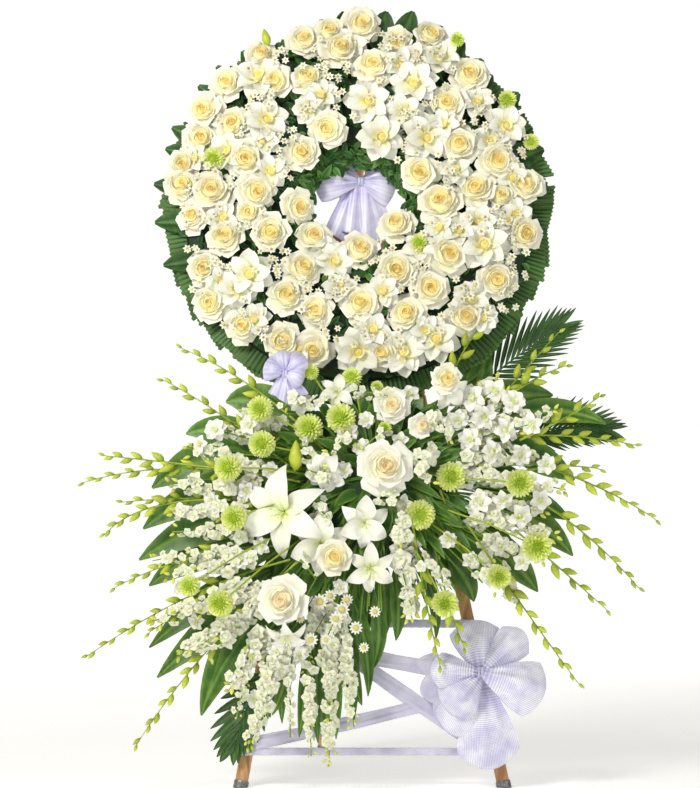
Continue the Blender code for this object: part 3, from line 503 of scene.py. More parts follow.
# The wreath's roses: cream garden roses with an apricot heart, of about 70 mm,
# cut short and pushed into the ring so that each looks straight out of it. The
# petals sit in whorls, upright round the heart and rolled back at the rim.
def whorl_petal(foot, waist, rim, lift, top, half_angle, roll, ruffle=0.0):
    """A petal as a piece of a cup: foot, waist and rim radii, its height and how far the rim rolls."""

    def place(share, side):
        reach = 1.0 - 0.24 * side ** 4 - 0.08 * side * side + 0.06 * math.exp(-30 * side * side)
        s = share * reach
        radius = foot + (waist - foot) * math.sin(min(1.0, s * 1.4) * math.pi / 2)
        radius += (rim - waist) * max(0.0, s - 0.45) / 0.55 * (1.0 + 0.10 * abs(side))
        radius *= 1.0 + ruffle * math.sin(side * 6.0 + rim * 9) * share
        height = lift + (top - lift) * math.sin(s * math.pi / 2) - roll * max(0.0, s - 0.72) ** 2 * 10
        angle = half_angle * side * (0.55 + 0.45 * math.sin(min(1.0, share * 1.6) * math.pi / 2))
        return radius * math.cos(angle), radius * math.sin(angle), height

    return sheet(6, 6, place)


def rose_whorls(openness):
    """The whorls of a rose of unit radius: (petals, petal, inner tint, outer tint)."""
    o = openness
    return [
        (2, whorl_petal(0.03, 0.06, 0.03, 0.70, 0.93, 1.9, 0.0), 1.00, 0.84),
        (3, whorl_petal(0.06, 0.13, 0.11, 0.68, 0.97, 1.5, 0.0), 0.95, 0.70),
        (3, whorl_petal(0.10, 0.21, 0.20, 0.66, 1.00, 1.4, 0.003), 0.86, 0.54),
        (4, whorl_petal(0.16, 0.31, 0.30, 0.60, 1.01, 1.2, 0.005, 0.02), 0.74, 0.38),
        (4, whorl_petal(0.20, 0.42, 0.43, 0.50, 0.99, 1.15, 0.012, 0.03), 0.58, 0.26),
        (5, whorl_petal(0.22, 0.54, 0.60 + 0.04 * o, 0.34, 0.93, 0.90, 0.03, 0.04), 0.42, 0.14),
        (5, whorl_petal(0.22, 0.64, 0.82 + 0.08 * o, 0.18, 0.78, 0.80, 0.06, 0.05), 0.28, 0.06),
        (6, whorl_petal(0.16, 0.72, 1.10 + 0.05 * o, 0.02, 0.52 - 0.10 * o, 0.66, 0.10, 0.06), 0.18, 0.0),
    ]


def turned(profile, sides):
    """Rings of points round the Z axis, from the (radius, height) pairs of a profile."""
    rings = []
    for radius, height in profile:
        angles = [2 * math.pi * i / sides for i in range(sides)]
        rings.append([(radius * math.cos(angle), radius * math.sin(angle), height) for angle in angles])
    return np.array(rings)


def shaded(petal, inner, outer):
    """A tint for each row of a petal, from its foot to its rim."""
    return inner + (outer - inner) * np.linspace(0, 1, petal.shape[0])[:, None]


def tipped(sway, nod):
    """A small turn to either side about Y and X, so that no petal sits like the next."""
    over = Matrix.Rotation(dice.uniform(-sway, sway), 4, "Y")
    return over @ Matrix.Rotation(dice.uniform(-nod, nod), 4, "X")


def swayed(out, by):
    """A bloom's way of looking, turned a little at random."""
    return out + Vector((dice.uniform(-by, by), 0.0, dice.uniform(-by, by)))


ROSE_HEART = (
    (0.01, 0.88), (0.12, 0.90), (0.26, 0.91), (0.40, 0.88), (0.52, 0.76), (0.60, 0.52), (0.56, 0.10)
)
ROSE_HEART_TINTS = (1.0, 0.94, 0.82, 0.64, 0.50, 0.40, 0.30)


def open_rose(heap, stand_place, whorls, warmth):
    """Lays the whorls of one rose, each turned against the one before, round its full heart."""
    lay(heap, turned(ROSE_HEART, 14), np.array(ROSE_HEART_TINTS)[:, None], stand_place, warmth, closed=True)
    for level, (count, petal, inner, outer) in enumerate(whorls):
        tint = shaded(petal, inner, outer)
        for i in range(count):
            turn = 2.0 * math.pi * (i + dice.uniform(-0.12, 0.12)) / count + level * 2.4
            loose = 0.02 + 0.022 * level
            tip = tipped(loose, loose) @ Matrix.Scale(dice.uniform(0.93, 1.06), 4)
            lay(heap, petal, tint, stand_place @ Matrix.Rotation(turn, 4, "Z") @ tip, warmth)


def petal_skin(name, pale, middle_tone, warm, deep):
    """Petal skin: tint 0 is the pale rim, 1 the heart, with fine veins and a soft sheen."""
    material, tree, shader = finish_of(name, 0.62)
    veins = grained(tree, (220.0, 220.0, 220.0), 3.0)
    cloud = grained(tree, (40.0, 40.0, 40.0), 2.0)
    tone = toned(tree, cloud, 0.16, tinted(tree))
    colour = ramp(tree, tone, [(0.10, pale), (0.42, middle_tone), (0.80, warm), (1.08, deep)])
    varied(tree, shader, colour, 0.93, 1.04)
    shader.inputs["Subsurface Weight"].default_value = 0.25
    shader.inputs["Subsurface Radius"].default_value = (0.012, 0.010, 0.006)
    shader.inputs["Subsurface Scale"].default_value = 0.6
    shader.inputs["Specular IOR Level"].default_value = 0.25
    bumped(tree, shader, veins, 0.12, 0.0006)
    return material


ivory = petal_skin(
    "ivory_rose_petal", (0.93, 0.91, 0.77), (0.94, 0.89, 0.62), (0.97, 0.83, 0.40), (0.98, 0.73, 0.24)
)

# Where each rose's heart is in the picture, and the width of the rose, in pixels.
WREATH_ROSES = (
    (339, 55, 38), (329, 128, 36), (302, 154, 34), (235, 128, 36), (248, 159, 38), (278, 84, 34),
    (307, 83, 32),
    (304, 45, 32), (209, 112, 36), (201, 139, 34), (229, 87, 34), (330, 37, 32), (183, 189, 36),
    (213, 196, 40),
    (254, 193, 36), (295, 207, 32), (359, 29, 36), (428, 40, 32), (374, 72, 38), (469, 79, 36),
    (448, 106, 36),
    (460, 146, 36), (494, 163, 38), (420, 175, 38), (477, 193, 36), (524, 190, 36), (442, 207, 42),
    (227, 241, 36),
    (271, 233, 36), (312, 241, 34), (300, 273, 36), (286, 300, 36), (317, 310, 34), (215, 304, 36),
    (284, 342, 34),
    (316, 348, 34), (242, 327, 32), (206, 269, 32), (398, 229, 34), (446, 257, 38), (397, 272, 38),
    (519, 234, 36),
    (430, 289, 36), (495, 282, 36), (362, 307, 38), (409, 316, 36), (462, 319, 36), (357, 254, 36),
    (196, 218, 30),
    (186, 166, 30), (262, 60, 30), (398, 45, 30), (500, 200, 30), (250, 215, 28), (384, 352, 32),
)


def wreath_seat(px, py, lift):
    """The bed under a pixel: its place, raised by lift, the way a bloom looks there, and its sector."""
    place = seen_at(px, py, 0.125)
    for _ in range(2):
        inner = TO_FRONT @ place
        r = math.hypot(inner.x - WREATH_MIDDLE[0], inner.z - WREATH_MIDDLE[1])
        place = seen_at(px, py, bed_front(min(r, 0.385)) + lift)
    angle = math.atan2(inner.z - WREATH_MIDDLE[1], inner.x - WREATH_MIDDLE[0])
    slope = 1.6 * (r - 0.243)
    out = looking(math.cos(angle) * slope, math.sin(angle) * slope)
    return place, out, int(math.degrees(angle) % 360 // 60)


rose_kinds = [rose_whorls(openness) for openness in (0.0, 0.5, 1.0)]
rose_sectors = [pile() for _ in range(6)]
for px, py, width in WREATH_ROSES:
    place, out, sector = wreath_seat(px, py, -0.012)
    out = swayed(out, 0.25)
    size = width * PIXEL / 2 * 1.05
    stand_place = facing(place, out, any_turn(), size)
    open_rose(rose_sectors[sector], stand_place, dice.choice(rose_kinds), dice.random())
for k, heap in enumerate(rose_sectors):
    piece_from(heap, f"wreath_roses_{k + 1}", ivory, "ivory_petal", f"wreath_flowers_{k + 1}")


# Reflexed white blooms between the roses: narcissus-like stars with two rounds
# of six long pointed petals, laid back round a small cream cup.
def star_petal(length, width, rise, droop, cup, rows=7, columns=4, point=0.9):
    """A pointed petal that leaves the cup along +X, rises and bends back down."""

    def place(share, side):
        half = 0.0008
        if share < 1.0:
            half = width / 2 * math.sin(math.pi * (0.12 + 0.88 * share) ** point) ** 0.7
        height = rise * math.sin(share * math.pi * 0.6) - droop * share * share
        height += cup * half * (side * side - 0.5) - 0.10 * half * (abs(side) < 0.1)
        return 0.10 + length * share, half * side, height

    return sheet(rows, columns, place)


white = petal_skin(
    "white_star_petal", (0.91, 0.91, 0.80), (0.90, 0.89, 0.62), (0.95, 0.86, 0.44), (0.90, 0.66, 0.12)
)


STAR_EYE = ((0.20, 0.06), (0.17, 0.24), (0.09, 0.34), (0.01, 0.35))
star_cup = whorl_petal(0.10, 0.20, 0.24, 0.05, 0.42, 1.0, 0.0)


def star_bloom(heap, stand_place, petals=6, warmth=0.5, second=True):
    """A star of one or two rounds of pointed petals, with a short cup round its eye."""
    inner = [star_petal(0.95, 0.86, 0.22, 0.30, 0.35), star_petal(0.86, 0.70, 0.34, 0.10, 0.45)]
    for layer, petal in enumerate(inner if second else inner[:1]):
        rows = petal.shape[0]
        tint = 0.75 - 0.75 * np.minimum(1.0, np.linspace(0, 2.2, rows))[:, None]
        for i in range(petals):
            turn = 2.0 * math.pi * (i + 0.5 * layer + dice.uniform(-0.1, 0.1)) / petals
            tip = tipped(0.15, 0.2)
            lifted = stand_place @ Matrix.Translation((0, 0, 0.05 + 0.06 * layer))
            lay(heap, petal, tint, lifted @ Matrix.Rotation(turn, 4, "Z") @ tip, warmth)
    eye_tint = np.array([0.5, 0.66, 0.86, 0.95])[:, None]
    lay(heap, turned(STAR_EYE, 8), eye_tint, stand_place, warmth, closed=True)
    for i in range(4):
        seat = stand_place @ Matrix.Rotation(2 * math.pi * i / 4, 4, "Z")
        lay(heap, star_cup, shaded(star_cup, 0.8, 0.40), seat, warmth)


# Heart of each star in the picture, and its width, in pixels.
WREATH_STARS = (
    (260, 79, 52), (266, 122, 50), (414, 86, 52), (367, 103, 50), (381, 138, 50), (425, 138, 52),
    (250, 274, 50),
    (484, 246, 54), (436, 340, 50), (358, 351, 50), (402, 353, 50), (504, 127, 46), (284, 40, 40),
    (440, 60, 44),
    (334, 262, 40), (236, 290, 44), (340, 290, 38), (478, 222, 40), (514, 215, 38), (228, 152, 42),
    (322, 98, 40),
    (270, 172, 38), (460, 232, 40), (420, 250, 38), (470, 300, 40), (372, 331, 40), (255, 320, 36),
    (222, 218, 36),
    (350, 45, 36), (400, 66, 40), (478, 104, 38), (489, 143, 40), (404, 112, 42),
    (310, 110, 36), (262, 142, 40), (196, 160, 34),
    (222, 282, 36), (384, 292, 38),
    (482, 318, 34), (424, 330, 36), (300, 350, 34),
    (506, 222, 36), (512, 178, 36), (440, 228, 34), (326, 252, 34), (444, 126, 38),
    (456, 172, 36), (415, 60, 36),
)
WREATH_X, WREATH_Y = 359, 212  # the wreath's middle in the picture, in pixels
stars = pile()
for px, py, width in WREATH_STARS:
    if math.dist((px, py), (WREATH_X, WREATH_Y)) > 178:
        continue
    place, out, _ = wreath_seat(px, py, 0.002)
    out = swayed(out, 0.3)
    star_bloom(stars, facing(place, out, any_turn(), width * PIXEL / 2), warmth=dice.random())
piece_from(stars, "wreath_stars", white, "white_petal")


# Wax flowers: sprays of tiny six-petalled flowers of about 20 mm, with an
# ochre eye, that fill the gaps between the roses.
WAX_CLUSTERS = (
    (285, 60), (252, 101), (302, 108), (270, 147), (336, 87), (205, 170), (284, 177), (312, 29), (391, 27),
    (394, 51),
    (398, 114), (410, 116), (476, 119), (444, 162), (515, 161), (516, 146), (425, 99), (454, 181), (422, 54),
    (192, 222), (255, 221), (224, 264), (281, 260), (280, 268), (327, 287), (339, 292), (226, 328),
    (202, 291),
    (288, 332), (497, 215), (464, 225), (517, 260), (464, 288), (521, 281), (375, 332), (418, 262),
    (484, 309),
    (236, 128), (262, 104), (318, 70), (350, 62), (380, 90), (436, 96), (470, 130), (500, 146), (448, 200),
    (492, 222),
    (504, 268), (470, 290), (446, 320), (390, 340), (346, 334), (300, 300), (260, 262), (236, 224),
    (210, 210), (196, 196),
    (214, 262), (236, 306), (268, 328), (406, 280), (380, 268), (350, 288), (240, 180), (292, 138),
    (266, 90), (310, 60),
    (410, 30), (440, 46), (462, 62), (384, 44), (340, 28), (500, 96), (520, 240), (510, 300), (188, 240),
    (180, 150),
    (429, 233), (240, 60), (226, 120), (345, 110), (408, 150), (174, 205), (300, 290), (384, 250), (330, 330),
)
wax_flowers = pile()
wax_eyes = pile()
tiny_petal = star_petal(0.95, 0.62, 0.12, 0.10, 0.3, rows=3, columns=2, point=0.7)


def wax_flower(stand_place):
    for i in range(6):
        lay(
            wax_flowers,
            tiny_petal,
            0.12,
            stand_place @ Matrix.Rotation(2 * math.pi * i / 6, 4, "Z"),
            dice.random(),
        )
    eye = turned(((0.30, 0.05), (0.24, 0.26), (0.02, 0.34)), 6)
    lay(wax_eyes, eye, dice.uniform(0.2, 1.0), stand_place, closed=True)


for px, py in WAX_CLUSTERS:
    for _ in range(dice.choice((4, 5, 6))):
        at = (px + dice.uniform(-11, 11), py + dice.uniform(-11, 11))
        if math.dist(at, (WREATH_X, WREATH_Y)) > 184:
            continue
        place, out, _ = wreath_seat(*at, dice.uniform(0.012, 0.026))
        out = swayed(out, 0.5)
        wax_flower(facing(place, out, any_turn(), dice.uniform(3.8, 5.0) * PIXEL))


def ochre_eye():
    material, tree, shader = finish_of("ochre_eye", 0.7)
    dots = grained(tree, (500.0, 500.0, 500.0), 2.0)
    tone = toned(tree, dots, 0.4, tinted(tree))
    colour = ramp(
        tree, tone, [(0.3, (0.34, 0.28, 0.05)), (0.9, (0.62, 0.48, 0.11)), (1.3, (0.72, 0.64, 0.22))]
    )
    tree.links.new(colour, shader.inputs["Base Color"])
    bumped(tree, shader, dots, 0.4, 0.0006)
    return material


ochre = ochre_eye()
piece_from(wax_flowers, "wax_flowers", white, "white_petal")
piece_from(wax_eyes, "wax_flower_eyes", ochre, "ivory_petal")


# The spray's leaves: long pointed leaves on stalks in the foam's side, which fan
# out behind the flowers, dark green with a paler midrib and side veins.
SPRAY_MIDDLE = (0.010, 0.643)
HEART_X, HEART_Y = 375, 480  # the spray's middle in the picture, in pixels


def spray_reach(place):
    inner = TO_FRONT @ place
    return math.hypot(inner.x - SPRAY_MIDDLE[0], inner.z - SPRAY_MIDDLE[1])


def bent_line(start, bend, tip, depths, steps):
    """Points of a stem seen from start over bend to tip, in pixels, with its depth at either end."""
    places = []
    for i in range(steps + 1):
        t = i / steps
        px = (1 - t) ** 2 * start[0] + 2 * t * (1 - t) * bend[0] + t * t * tip[0]
        py = (1 - t) ** 2 * start[1] + 2 * t * (1 - t) * bend[1] + t * t * tip[1]
        places.append(seen_at(px, py, depths[0] + (depths[1] - depths[0]) * t))
    return places


def on_line(line, t):
    """The place at a share t of the way along a line of points."""
    last = len(line) - 1
    return line[min(last, int(t * last))].lerp(line[min(last, int(t * last) + 1)], t * last % 1)


def blade(heap, line, width, fold, tone, columns=6, blunt=0.75, wave=0.0):
    """A leaf blade along a line of points, folded along its midrib."""
    rows = len(line)
    grid = np.zeros((rows, columns + 1, 3))
    face = looking(0, 0)
    for i, place in enumerate(line):
        share = i / (rows - 1)
        ahead = (line[min(i + 1, rows - 1)] - line[max(i - 1, 0)]).normalized()
        side = ahead.cross(face).normalized()
        up = side.cross(ahead)
        half = width / 2 * math.sin(math.pi * (0.04 + 0.95 * share)) ** blunt * (1.25 - 0.5 * share)
        for j in range(columns + 1):
            across = 2.0 * j / columns - 1.0
            ripple = wave * math.sin(share * 14 + across * 2) * abs(across)
            grid[i, j] = place + side * (half * across) + up * (abs(across) * half * fold + ripple)
    # The pale midrib is the leaf's own colour; the rise in tint towards the edges and the tip is painted
    # light.
    across = np.abs(np.linspace(-1, 1, columns + 1))[None, :]
    along = np.linspace(0, 1, rows)[:, None]
    lay(heap, grid, 0.62 - 0.42 * np.minimum(1, across * 3) + 0.30 * across + 0.1 * along, across=tone)


def stem(heap, line, thick, thin, tone, tint=0.4, sides=5):
    """A round stem along a line of points that tapers towards its tip."""
    grid = np.zeros((len(line), sides, 3))
    for i, place in enumerate(line):
        ahead = (line[min(i + 1, len(line) - 1)] - line[max(i - 1, 0)]).normalized()
        first = ahead.cross(Vector((0.1, 1.0, 0.2))).normalized()
        second = ahead.cross(first)
        radius = thick + (thin - thick) * i / (len(line) - 1)
        for j in range(sides):
            angle = 2 * math.pi * j / sides
            grid[i, j] = place + (first * math.cos(angle) + second * math.sin(angle)) * radius
    lay(heap, grid, tint, closed=True, across=tone)


leaf_skin = leaf_green(
    "spray_leaf_skin", (0.014, 0.050, 0.008), (0.048, 0.140, 0.020), (0.22, 0.38, 0.07), 0.40, 190.0
)

# Where each leaf leaves the flowers, where it bends, its tip, and its width in pixels.
LEAVES_LEFT = (
    ((300, 440), (262, 390), (226, 402), 44), ((270, 455), (222, 420), (186, 434), 34),
    ((290, 470), (210, 440), (152, 488), 48),
    ((280, 490), (200, 480), (143, 529), 40), ((290, 505), (205, 515), (139, 560), 40),
    ((270, 530), (200, 545), (149, 586), 36),
    ((270, 570), (210, 590), (149, 648), 30), ((280, 580), (215, 620), (157, 678), 34),
    ((290, 520), (220, 500), (176, 520), 30),
    ((270, 600), (220, 650), (201, 716), 34), ((280, 590), (235, 640), (212, 700), 30),
    ((330, 500), (280, 535), (236, 566), 40), ((335, 520), (290, 560), (250, 600), 40),
    ((325, 470), (270, 470), (225, 480), 40),
    ((330, 540), (300, 590), (262, 640), 36), ((325, 450), (280, 430), (240, 430), 36),
)
LEAVES_RIGHT = (
    ((470, 400), (520, 395), (553, 395), 34), ((500, 420), (560, 400), (606, 424), 26),
    ((470, 420), (480, 370), (489, 352), 26),
    ((500, 440), (545, 460), (575, 480), 30), ((490, 500), (545, 520), (573, 556), 30),
    ((480, 530), (515, 560), (538, 592), 30),
    ((440, 540), (475, 545), (482, 582), 30), ((450, 560), (470, 580), (474, 602), 22),
    ((470, 480), (540, 500), (570, 520), 26),
    ((420, 420), (400, 400), (410, 380), 30), ((450, 385), (470, 370), (492, 352), 20),
    ((400, 400), (385, 380), (352, 385), 26),
    ((420, 500), (470, 520), (515, 545), 36), ((415, 520), (455, 560), (470, 596), 30),
    ((430, 470), (480, 470), (530, 480), 36),
    ((430, 450), (480, 440), (520, 436), 34),
)
LEAVES_LOW = (
    ((350, 560), (345, 600), (338, 650), 22), ((330, 560), (318, 600), (310, 650), 20),
    ((380, 560), (388, 600), (384, 640), 19),
    ((310, 560), (296, 600), (288, 650), 20), ((300, 530), (282, 570), (274, 622), 22),
    ((364, 560), (366, 600), (362, 650), 19),
    ((395, 570), (402, 610), (396, 641), 17), ((375, 590), (385, 640), (371, 672), 16),
    ((350, 590), (372, 650), (368, 697), 16),
    ((340, 600), (352, 660), (354, 722), 19), ((320, 600), (330, 650), (322, 692), 19),
    ((300, 620), (315, 670), (310, 705), 17),
    ((295, 640), (285, 690), (272, 716), 14), ((275, 640), (262, 690), (268, 720), 14),
    ((420, 560), (440, 600), (436, 640), 13),
    ((365, 600), (360, 640), (340, 690), 14), ((330, 620), (340, 660), (336, 706), 14),
    ((322, 640), (325, 690), (329, 750), 17), ((312, 640), (306, 690), (299, 738), 15),
    ((345, 640), (352, 680), (362, 706), 15),
    ((330, 640), (338, 690), (336, 740), 14), ((318, 650), (314, 700), (318, 744), 14),
    ((288, 640), (280, 680), (282, 724), 14),
)
for name, leaves, node_name in (
    ("long_leaves_left", LEAVES_LEFT, "leaves_left"),
    ("long_leaves_right", LEAVES_RIGHT, "leaves_right"),
    ("long_leaves_low", LEAVES_LOW, "leaves_low"),
):
    heap = pile()
    for start, bend, tip, width in leaves:
        line = bent_line(start, bend, tip, (dice.uniform(0.066, 0.076), dice.uniform(0.036, 0.050)), 12)
        blade(heap, line, width * PIXEL, 0.22, dice.random(), wave=0.0012)
        inner_end = (start[0] + (HEART_X - start[0]) * 0.55, start[1] + (HEART_Y - start[1]) * 0.55)
        stem(heap, bent_line(inner_end, start, bend, (0.070, 0.060), 6), 0.0026, 0.0014, 0.6, 0.5)
    piece_from(heap, name, leaf_skin, "green_leaf", node_name)


# Palm fronds: two at the upper right and one low at the left, each a brown-green
# rib with narrow leaflets on either side that stay joined at the rib.
# Start, bend and tip of each rib, and the longest leaflet, in pixels.
FRONDS = {
    "palm_frond_top": ((470, 395), (515, 355), (562, 326), 54),
    "palm_frond_right": ((520, 440), (560, 420), (608, 430), 46),
    "palm_frond_low": ((268, 668), (248, 700), (232, 746), 46),
}
for name, (start, bend, tip, longest) in FRONDS.items():
    heap = pile()
    rib = bent_line(start, bend, tip, (0.040, 0.036), 24)
    stem(heap, rib, 0.0026, 0.0010, 0.7, 0.9)
    hidden = (start[0] + (HEART_X - start[0]) * 0.6, start[1] + (HEART_Y - start[1]) * 0.6)
    stem(heap, bent_line(hidden, start, start, (0.044, 0.040), 4), 0.0030, 0.0026, 0.7, 0.7)
    face = looking(0, 0)
    wide = name == "palm_frond_low"
    for i in range(2, 33, 2 if wide else 1):
        share = i / 33
        at = on_line(rib, share)
        ahead = (rib[min(int(share * 24) + 1, 24)] - rib[int(share * 24) - 1]).normalized()
        side = ahead.cross(face).normalized() * (-1) ** (i // 2 if wide else i)
        fullness = math.sin(math.pi * (0.22 + 0.66 * share)) ** 0.8
        length = longest * PIXEL * fullness * dice.uniform(0.92, 1.05)
        run = (side * (1.0 - 0.60 * share) + ahead * (0.80 + 0.8 * share)).normalized()
        line = [
            at + run * (length * t) - face * (0.08 * t * t * length) + face * 0.0012
            for t in np.linspace(0, 1, 7)
        ]
        blade(heap, line, 0.019 if wide else 0.010, 0.45, dice.uniform(0.1, 0.9), columns=4, blunt=0.55)
    piece_from(heap, name + "_leaflets", palm_skin, "palm_leaf", name)


# Leaf tips that stand out past the wreath's flowers, cut from the same palm as
# the fringe and pushed into the ring from its edge.
TIPS = (
    (299, 31), (344, 15), (386, 14), (412, 15), (462, 46), (480, 63), (489, 78), (516, 96), (528, 129),
    (540, 151),
    (226, 76), (209, 94), (184, 133), (178, 153), (167, 186), (250, 62), (322, 24), (440, 30), (168, 222),
    (176, 262),
)
tips = pile()
for px, py in TIPS:
    away = math.dist((px, py), (WREATH_X, WREATH_Y))
    start = (px + (WREATH_X - px) * 40 / away, py + (WREATH_Y - py) * 40 / away)
    further = 13 if px < 260 else 4
    end = (px + (px - WREATH_X) * further / away, max(12, py + (py - WREATH_Y) * further / away))
    half_way = ((start[0] + px) / 2 + dice.uniform(-4, 4), (start[1] + py) / 2 + dice.uniform(-4, 4))
    blade(tips, bent_line(start, half_way, end, (0.088, 0.080), 9), 27 * PIXEL, 0.4, dice.random(), blunt=0.5)
piece_from(tips, "wreath_leaf_tips", palm_skin, "palm_leaf")


# The green heart of the spray: leaves, fern and grass pushed into the face of
# the foam, so that stems and blades of a fresh green show between the flowers.
def heart_front(px, py):
    """How far out the spray's dome of greens stands under a pixel."""
    inner = TO_FRONT @ seen_at(px, py, 0.16)
    across = (inner.x - SPRAY_MIDDLE[0]) / 0.18
    up = (inner.z - SPRAY_MIDDLE[1]) / 0.185
    reach = math.hypot(inner.x - SPRAY_MIDDLE[0], inner.z - SPRAY_MIDDLE[1])
    dome = 0.136 + 0.055 * math.sqrt(max(0.0, 1.0 - across * across - up * up))
    return max(dome, 0.147 + 0.30 * max(0.0, reach - 0.14))


fresh_green = leaf_green(
    "fresh_green", (0.012, 0.050, 0.008), (0.050, 0.150, 0.018), (0.24, 0.40, 0.05), 0.45, 240.0
)
heart = pile()
cap = []
for share in (0.02, 0.3, 0.6, 0.85, 1.0, 1.0):
    ring_of = []
    for i in range(40):
        angle = 2 * math.pi * i / 40
        x = SPRAY_MIDDLE[0] + 0.172 * share * math.cos(angle)
        u = SPRAY_MIDDLE[1] + 0.176 * share * math.sin(angle)
        rise = 0.136 + 0.036 * math.sqrt(max(0.0, 1 - share * share))
        ring_of.append(on_front(x, u, rise - (0.012 if len(cap) == 5 else 0)))
    cap.append(ring_of)
# The dome of the foam's face takes tint 0 and a low vary: the darkest green, painted shade between the
# greens.
lay(heart, np.array(cap), 0.0, closed=True, across=0.1)
for i in range(420):
    angle = dice.uniform(0, 2 * math.pi)
    reach = 0.175 * math.sqrt(dice.random())
    start = (HEART_X + math.cos(angle) * reach / PIXEL, HEART_Y - 2 - math.sin(angle) * reach / PIXEL)
    length = dice.uniform(22, 46)
    spread = angle + dice.uniform(-0.5, 0.5)
    tip = (start[0] + math.cos(spread) * length, start[1] - math.sin(spread) * length + 4)
    front = heart_front(*start)
    bend = ((start[0] + tip[0]) / 2 + dice.uniform(-3, 3), (start[1] + tip[1]) / 2 - 5)
    line = bent_line(start, bend, tip, (front - 0.022, front - dice.uniform(-0.004, 0.018)), 6)
    width = dice.choice((0.004, 0.006, 0.020, 0.026))
    if tip[1] > 388:
        blade(heart, line, width, 0.25, dice.random(), columns=3, blunt=0.7)
for i in range(170):
    angle = dice.uniform(0, 2 * math.pi)
    tip_reach = dice.uniform(0.20, 0.36)
    tip = (HEART_X + math.cos(angle) * tip_reach / PIXEL, HEART_Y - math.sin(angle) * tip_reach / PIXEL * 0.9)
    start = (HEART_X + math.cos(angle) * 50, HEART_Y - 2 - math.sin(angle) * 50)
    line = bent_line(
        start,
        ((start[0] + tip[0]) / 2, (start[1] + tip[1]) / 2 - 6),
        tip,
        (0.150, 0.085 + 0.15 * tip_reach),
        8,
    )
    if tip[1] > 392:
        stem(heart, line, 0.0024, 0.0016, dice.random(), dice.uniform(0.5, 1.0))
piece_from(heart, "spray_greens", fresh_green, "green_leaf", "front_greens")


# Stock and snapdragon: spikes of ruffled white florets round a green stem, the
# last few florets still green buds, standing out all round between the leaves.
STOCK_LEFT = (
    ((285, 430), (240, 412), 24), ((270, 445), (208, 430), 22), ((262, 470), (186, 448), 26),
    ((262, 490), (168, 486), 26),
    ((258, 512), (165, 514), 26), ((250, 535), (172, 532), 22), ((245, 548), (152, 561), 22),
    ((258, 560), (165, 578), 24),
    ((250, 590), (152, 622), 26), ((262, 588), (196, 614), 26), ((250, 615), (176, 655), 26),
    ((264, 600), (206, 655), 24),
    ((266, 630), (228, 692), 28), ((300, 430), (270, 418), 20),
)
STOCK_RIGHT = (
    ((458, 402), (500, 380), 26), ((455, 415), (512, 398), 28), ((470, 428), (560, 410), 24),
    ((460, 445), (525, 432), 28),
    ((458, 456), (545, 460), 28), ((460, 474), (566, 490), 26), ((470, 500), (548, 512), 26),
    ((468, 518), (558, 536), 26),
    ((478, 540), (545, 560), 24), ((484, 552), (522, 608), 26),
)
STOCK_LOW = (
    ((288, 640), (246, 752), 21), ((308, 660), (311, 757), 16), ((290, 660), (290, 738), 12),
    ((340, 612), (354, 728), 17),
    ((404, 545), (412, 620), 24), ((318, 600), (306, 660), 16), ((270, 640), (262, 700), 15),
    ((330, 606), (329, 766), 20),
    ((250, 660), (236, 720), 14),
)
STOCK_MIDDLE = (
    ((400, 500), (372, 503), 20), ((420, 448), (430, 486), 26), ((330, 480), (306, 470), 20),
    ((352, 436), (328, 456), 22),
    ((404, 512), (398, 548), 26), ((330, 400), (300, 404), 18), ((300, 444), (322, 470), 20),
    ((352, 392), (388, 396), 18),
    ((436, 410), (448, 444), 24), ((386, 430), (366, 446), 18), ((318, 500), (330, 524), 18),
    ((420, 560), (452, 590), 22),
    ((300, 560), (316, 580), 18), ((404, 590), (414, 612), 22), ((300, 396), (280, 410), 20),
    ((470, 560), (500, 590), 22),
)


def ruffled_place(share, side):
    half = 0.50 * math.sin(math.pi * (0.12 + 0.80 * share)) ** 0.7
    ruffle = 0.10 * math.sin(side * 5.0 + 1.0) * share
    return 0.06 + 0.92 * share * (1 - 0.1 * side * side), half * side, 0.20 * math.sin(share * 2.4) + ruffle


floret_petal = sheet(4, 4, ruffled_place)
stock_skin = petal_skin(
    "stock_petal", (0.93, 0.93, 0.80), (0.88, 0.90, 0.58), (0.70, 0.78, 0.28), (0.40, 0.54, 0.08)
)


def floret(heap, place, out, size, green):
    """One ruffled floret: five short petals over a few more, its throat green."""
    spot = facing(place, out, any_turn(), size)
    for layer, count, scale in ((0, 5, 1.0), (1, 3, 0.50)):
        lift = spot @ Matrix.Translation((0, 0, 0.14 * layer)) @ Matrix.Scale(scale, 4)
        for i in range(count):
            tip = Matrix.Rotation(dice.uniform(-0.25, 0.30) - 0.45 * layer, 4, "Y")
            tint = 0.85 * np.exp(-4.0 * np.linspace(0, 1, floret_petal.shape[0]))[:, None] + green
            seat = lift @ Matrix.Rotation(2 * math.pi * (i + 0.5 * layer) / count, 4, "Z")
            lay(heap, floret_petal, tint, seat @ tip, dice.random())


def bud_shape(sides=6):
    """A closed bud along +Z, round at its foot and drawn out to a tip."""
    return turned(((0.05, 0.0), (0.18, 0.12), (0.25, 0.38), (0.19, 0.66), (0.09, 0.88), (0.01, 1.0)), sides)


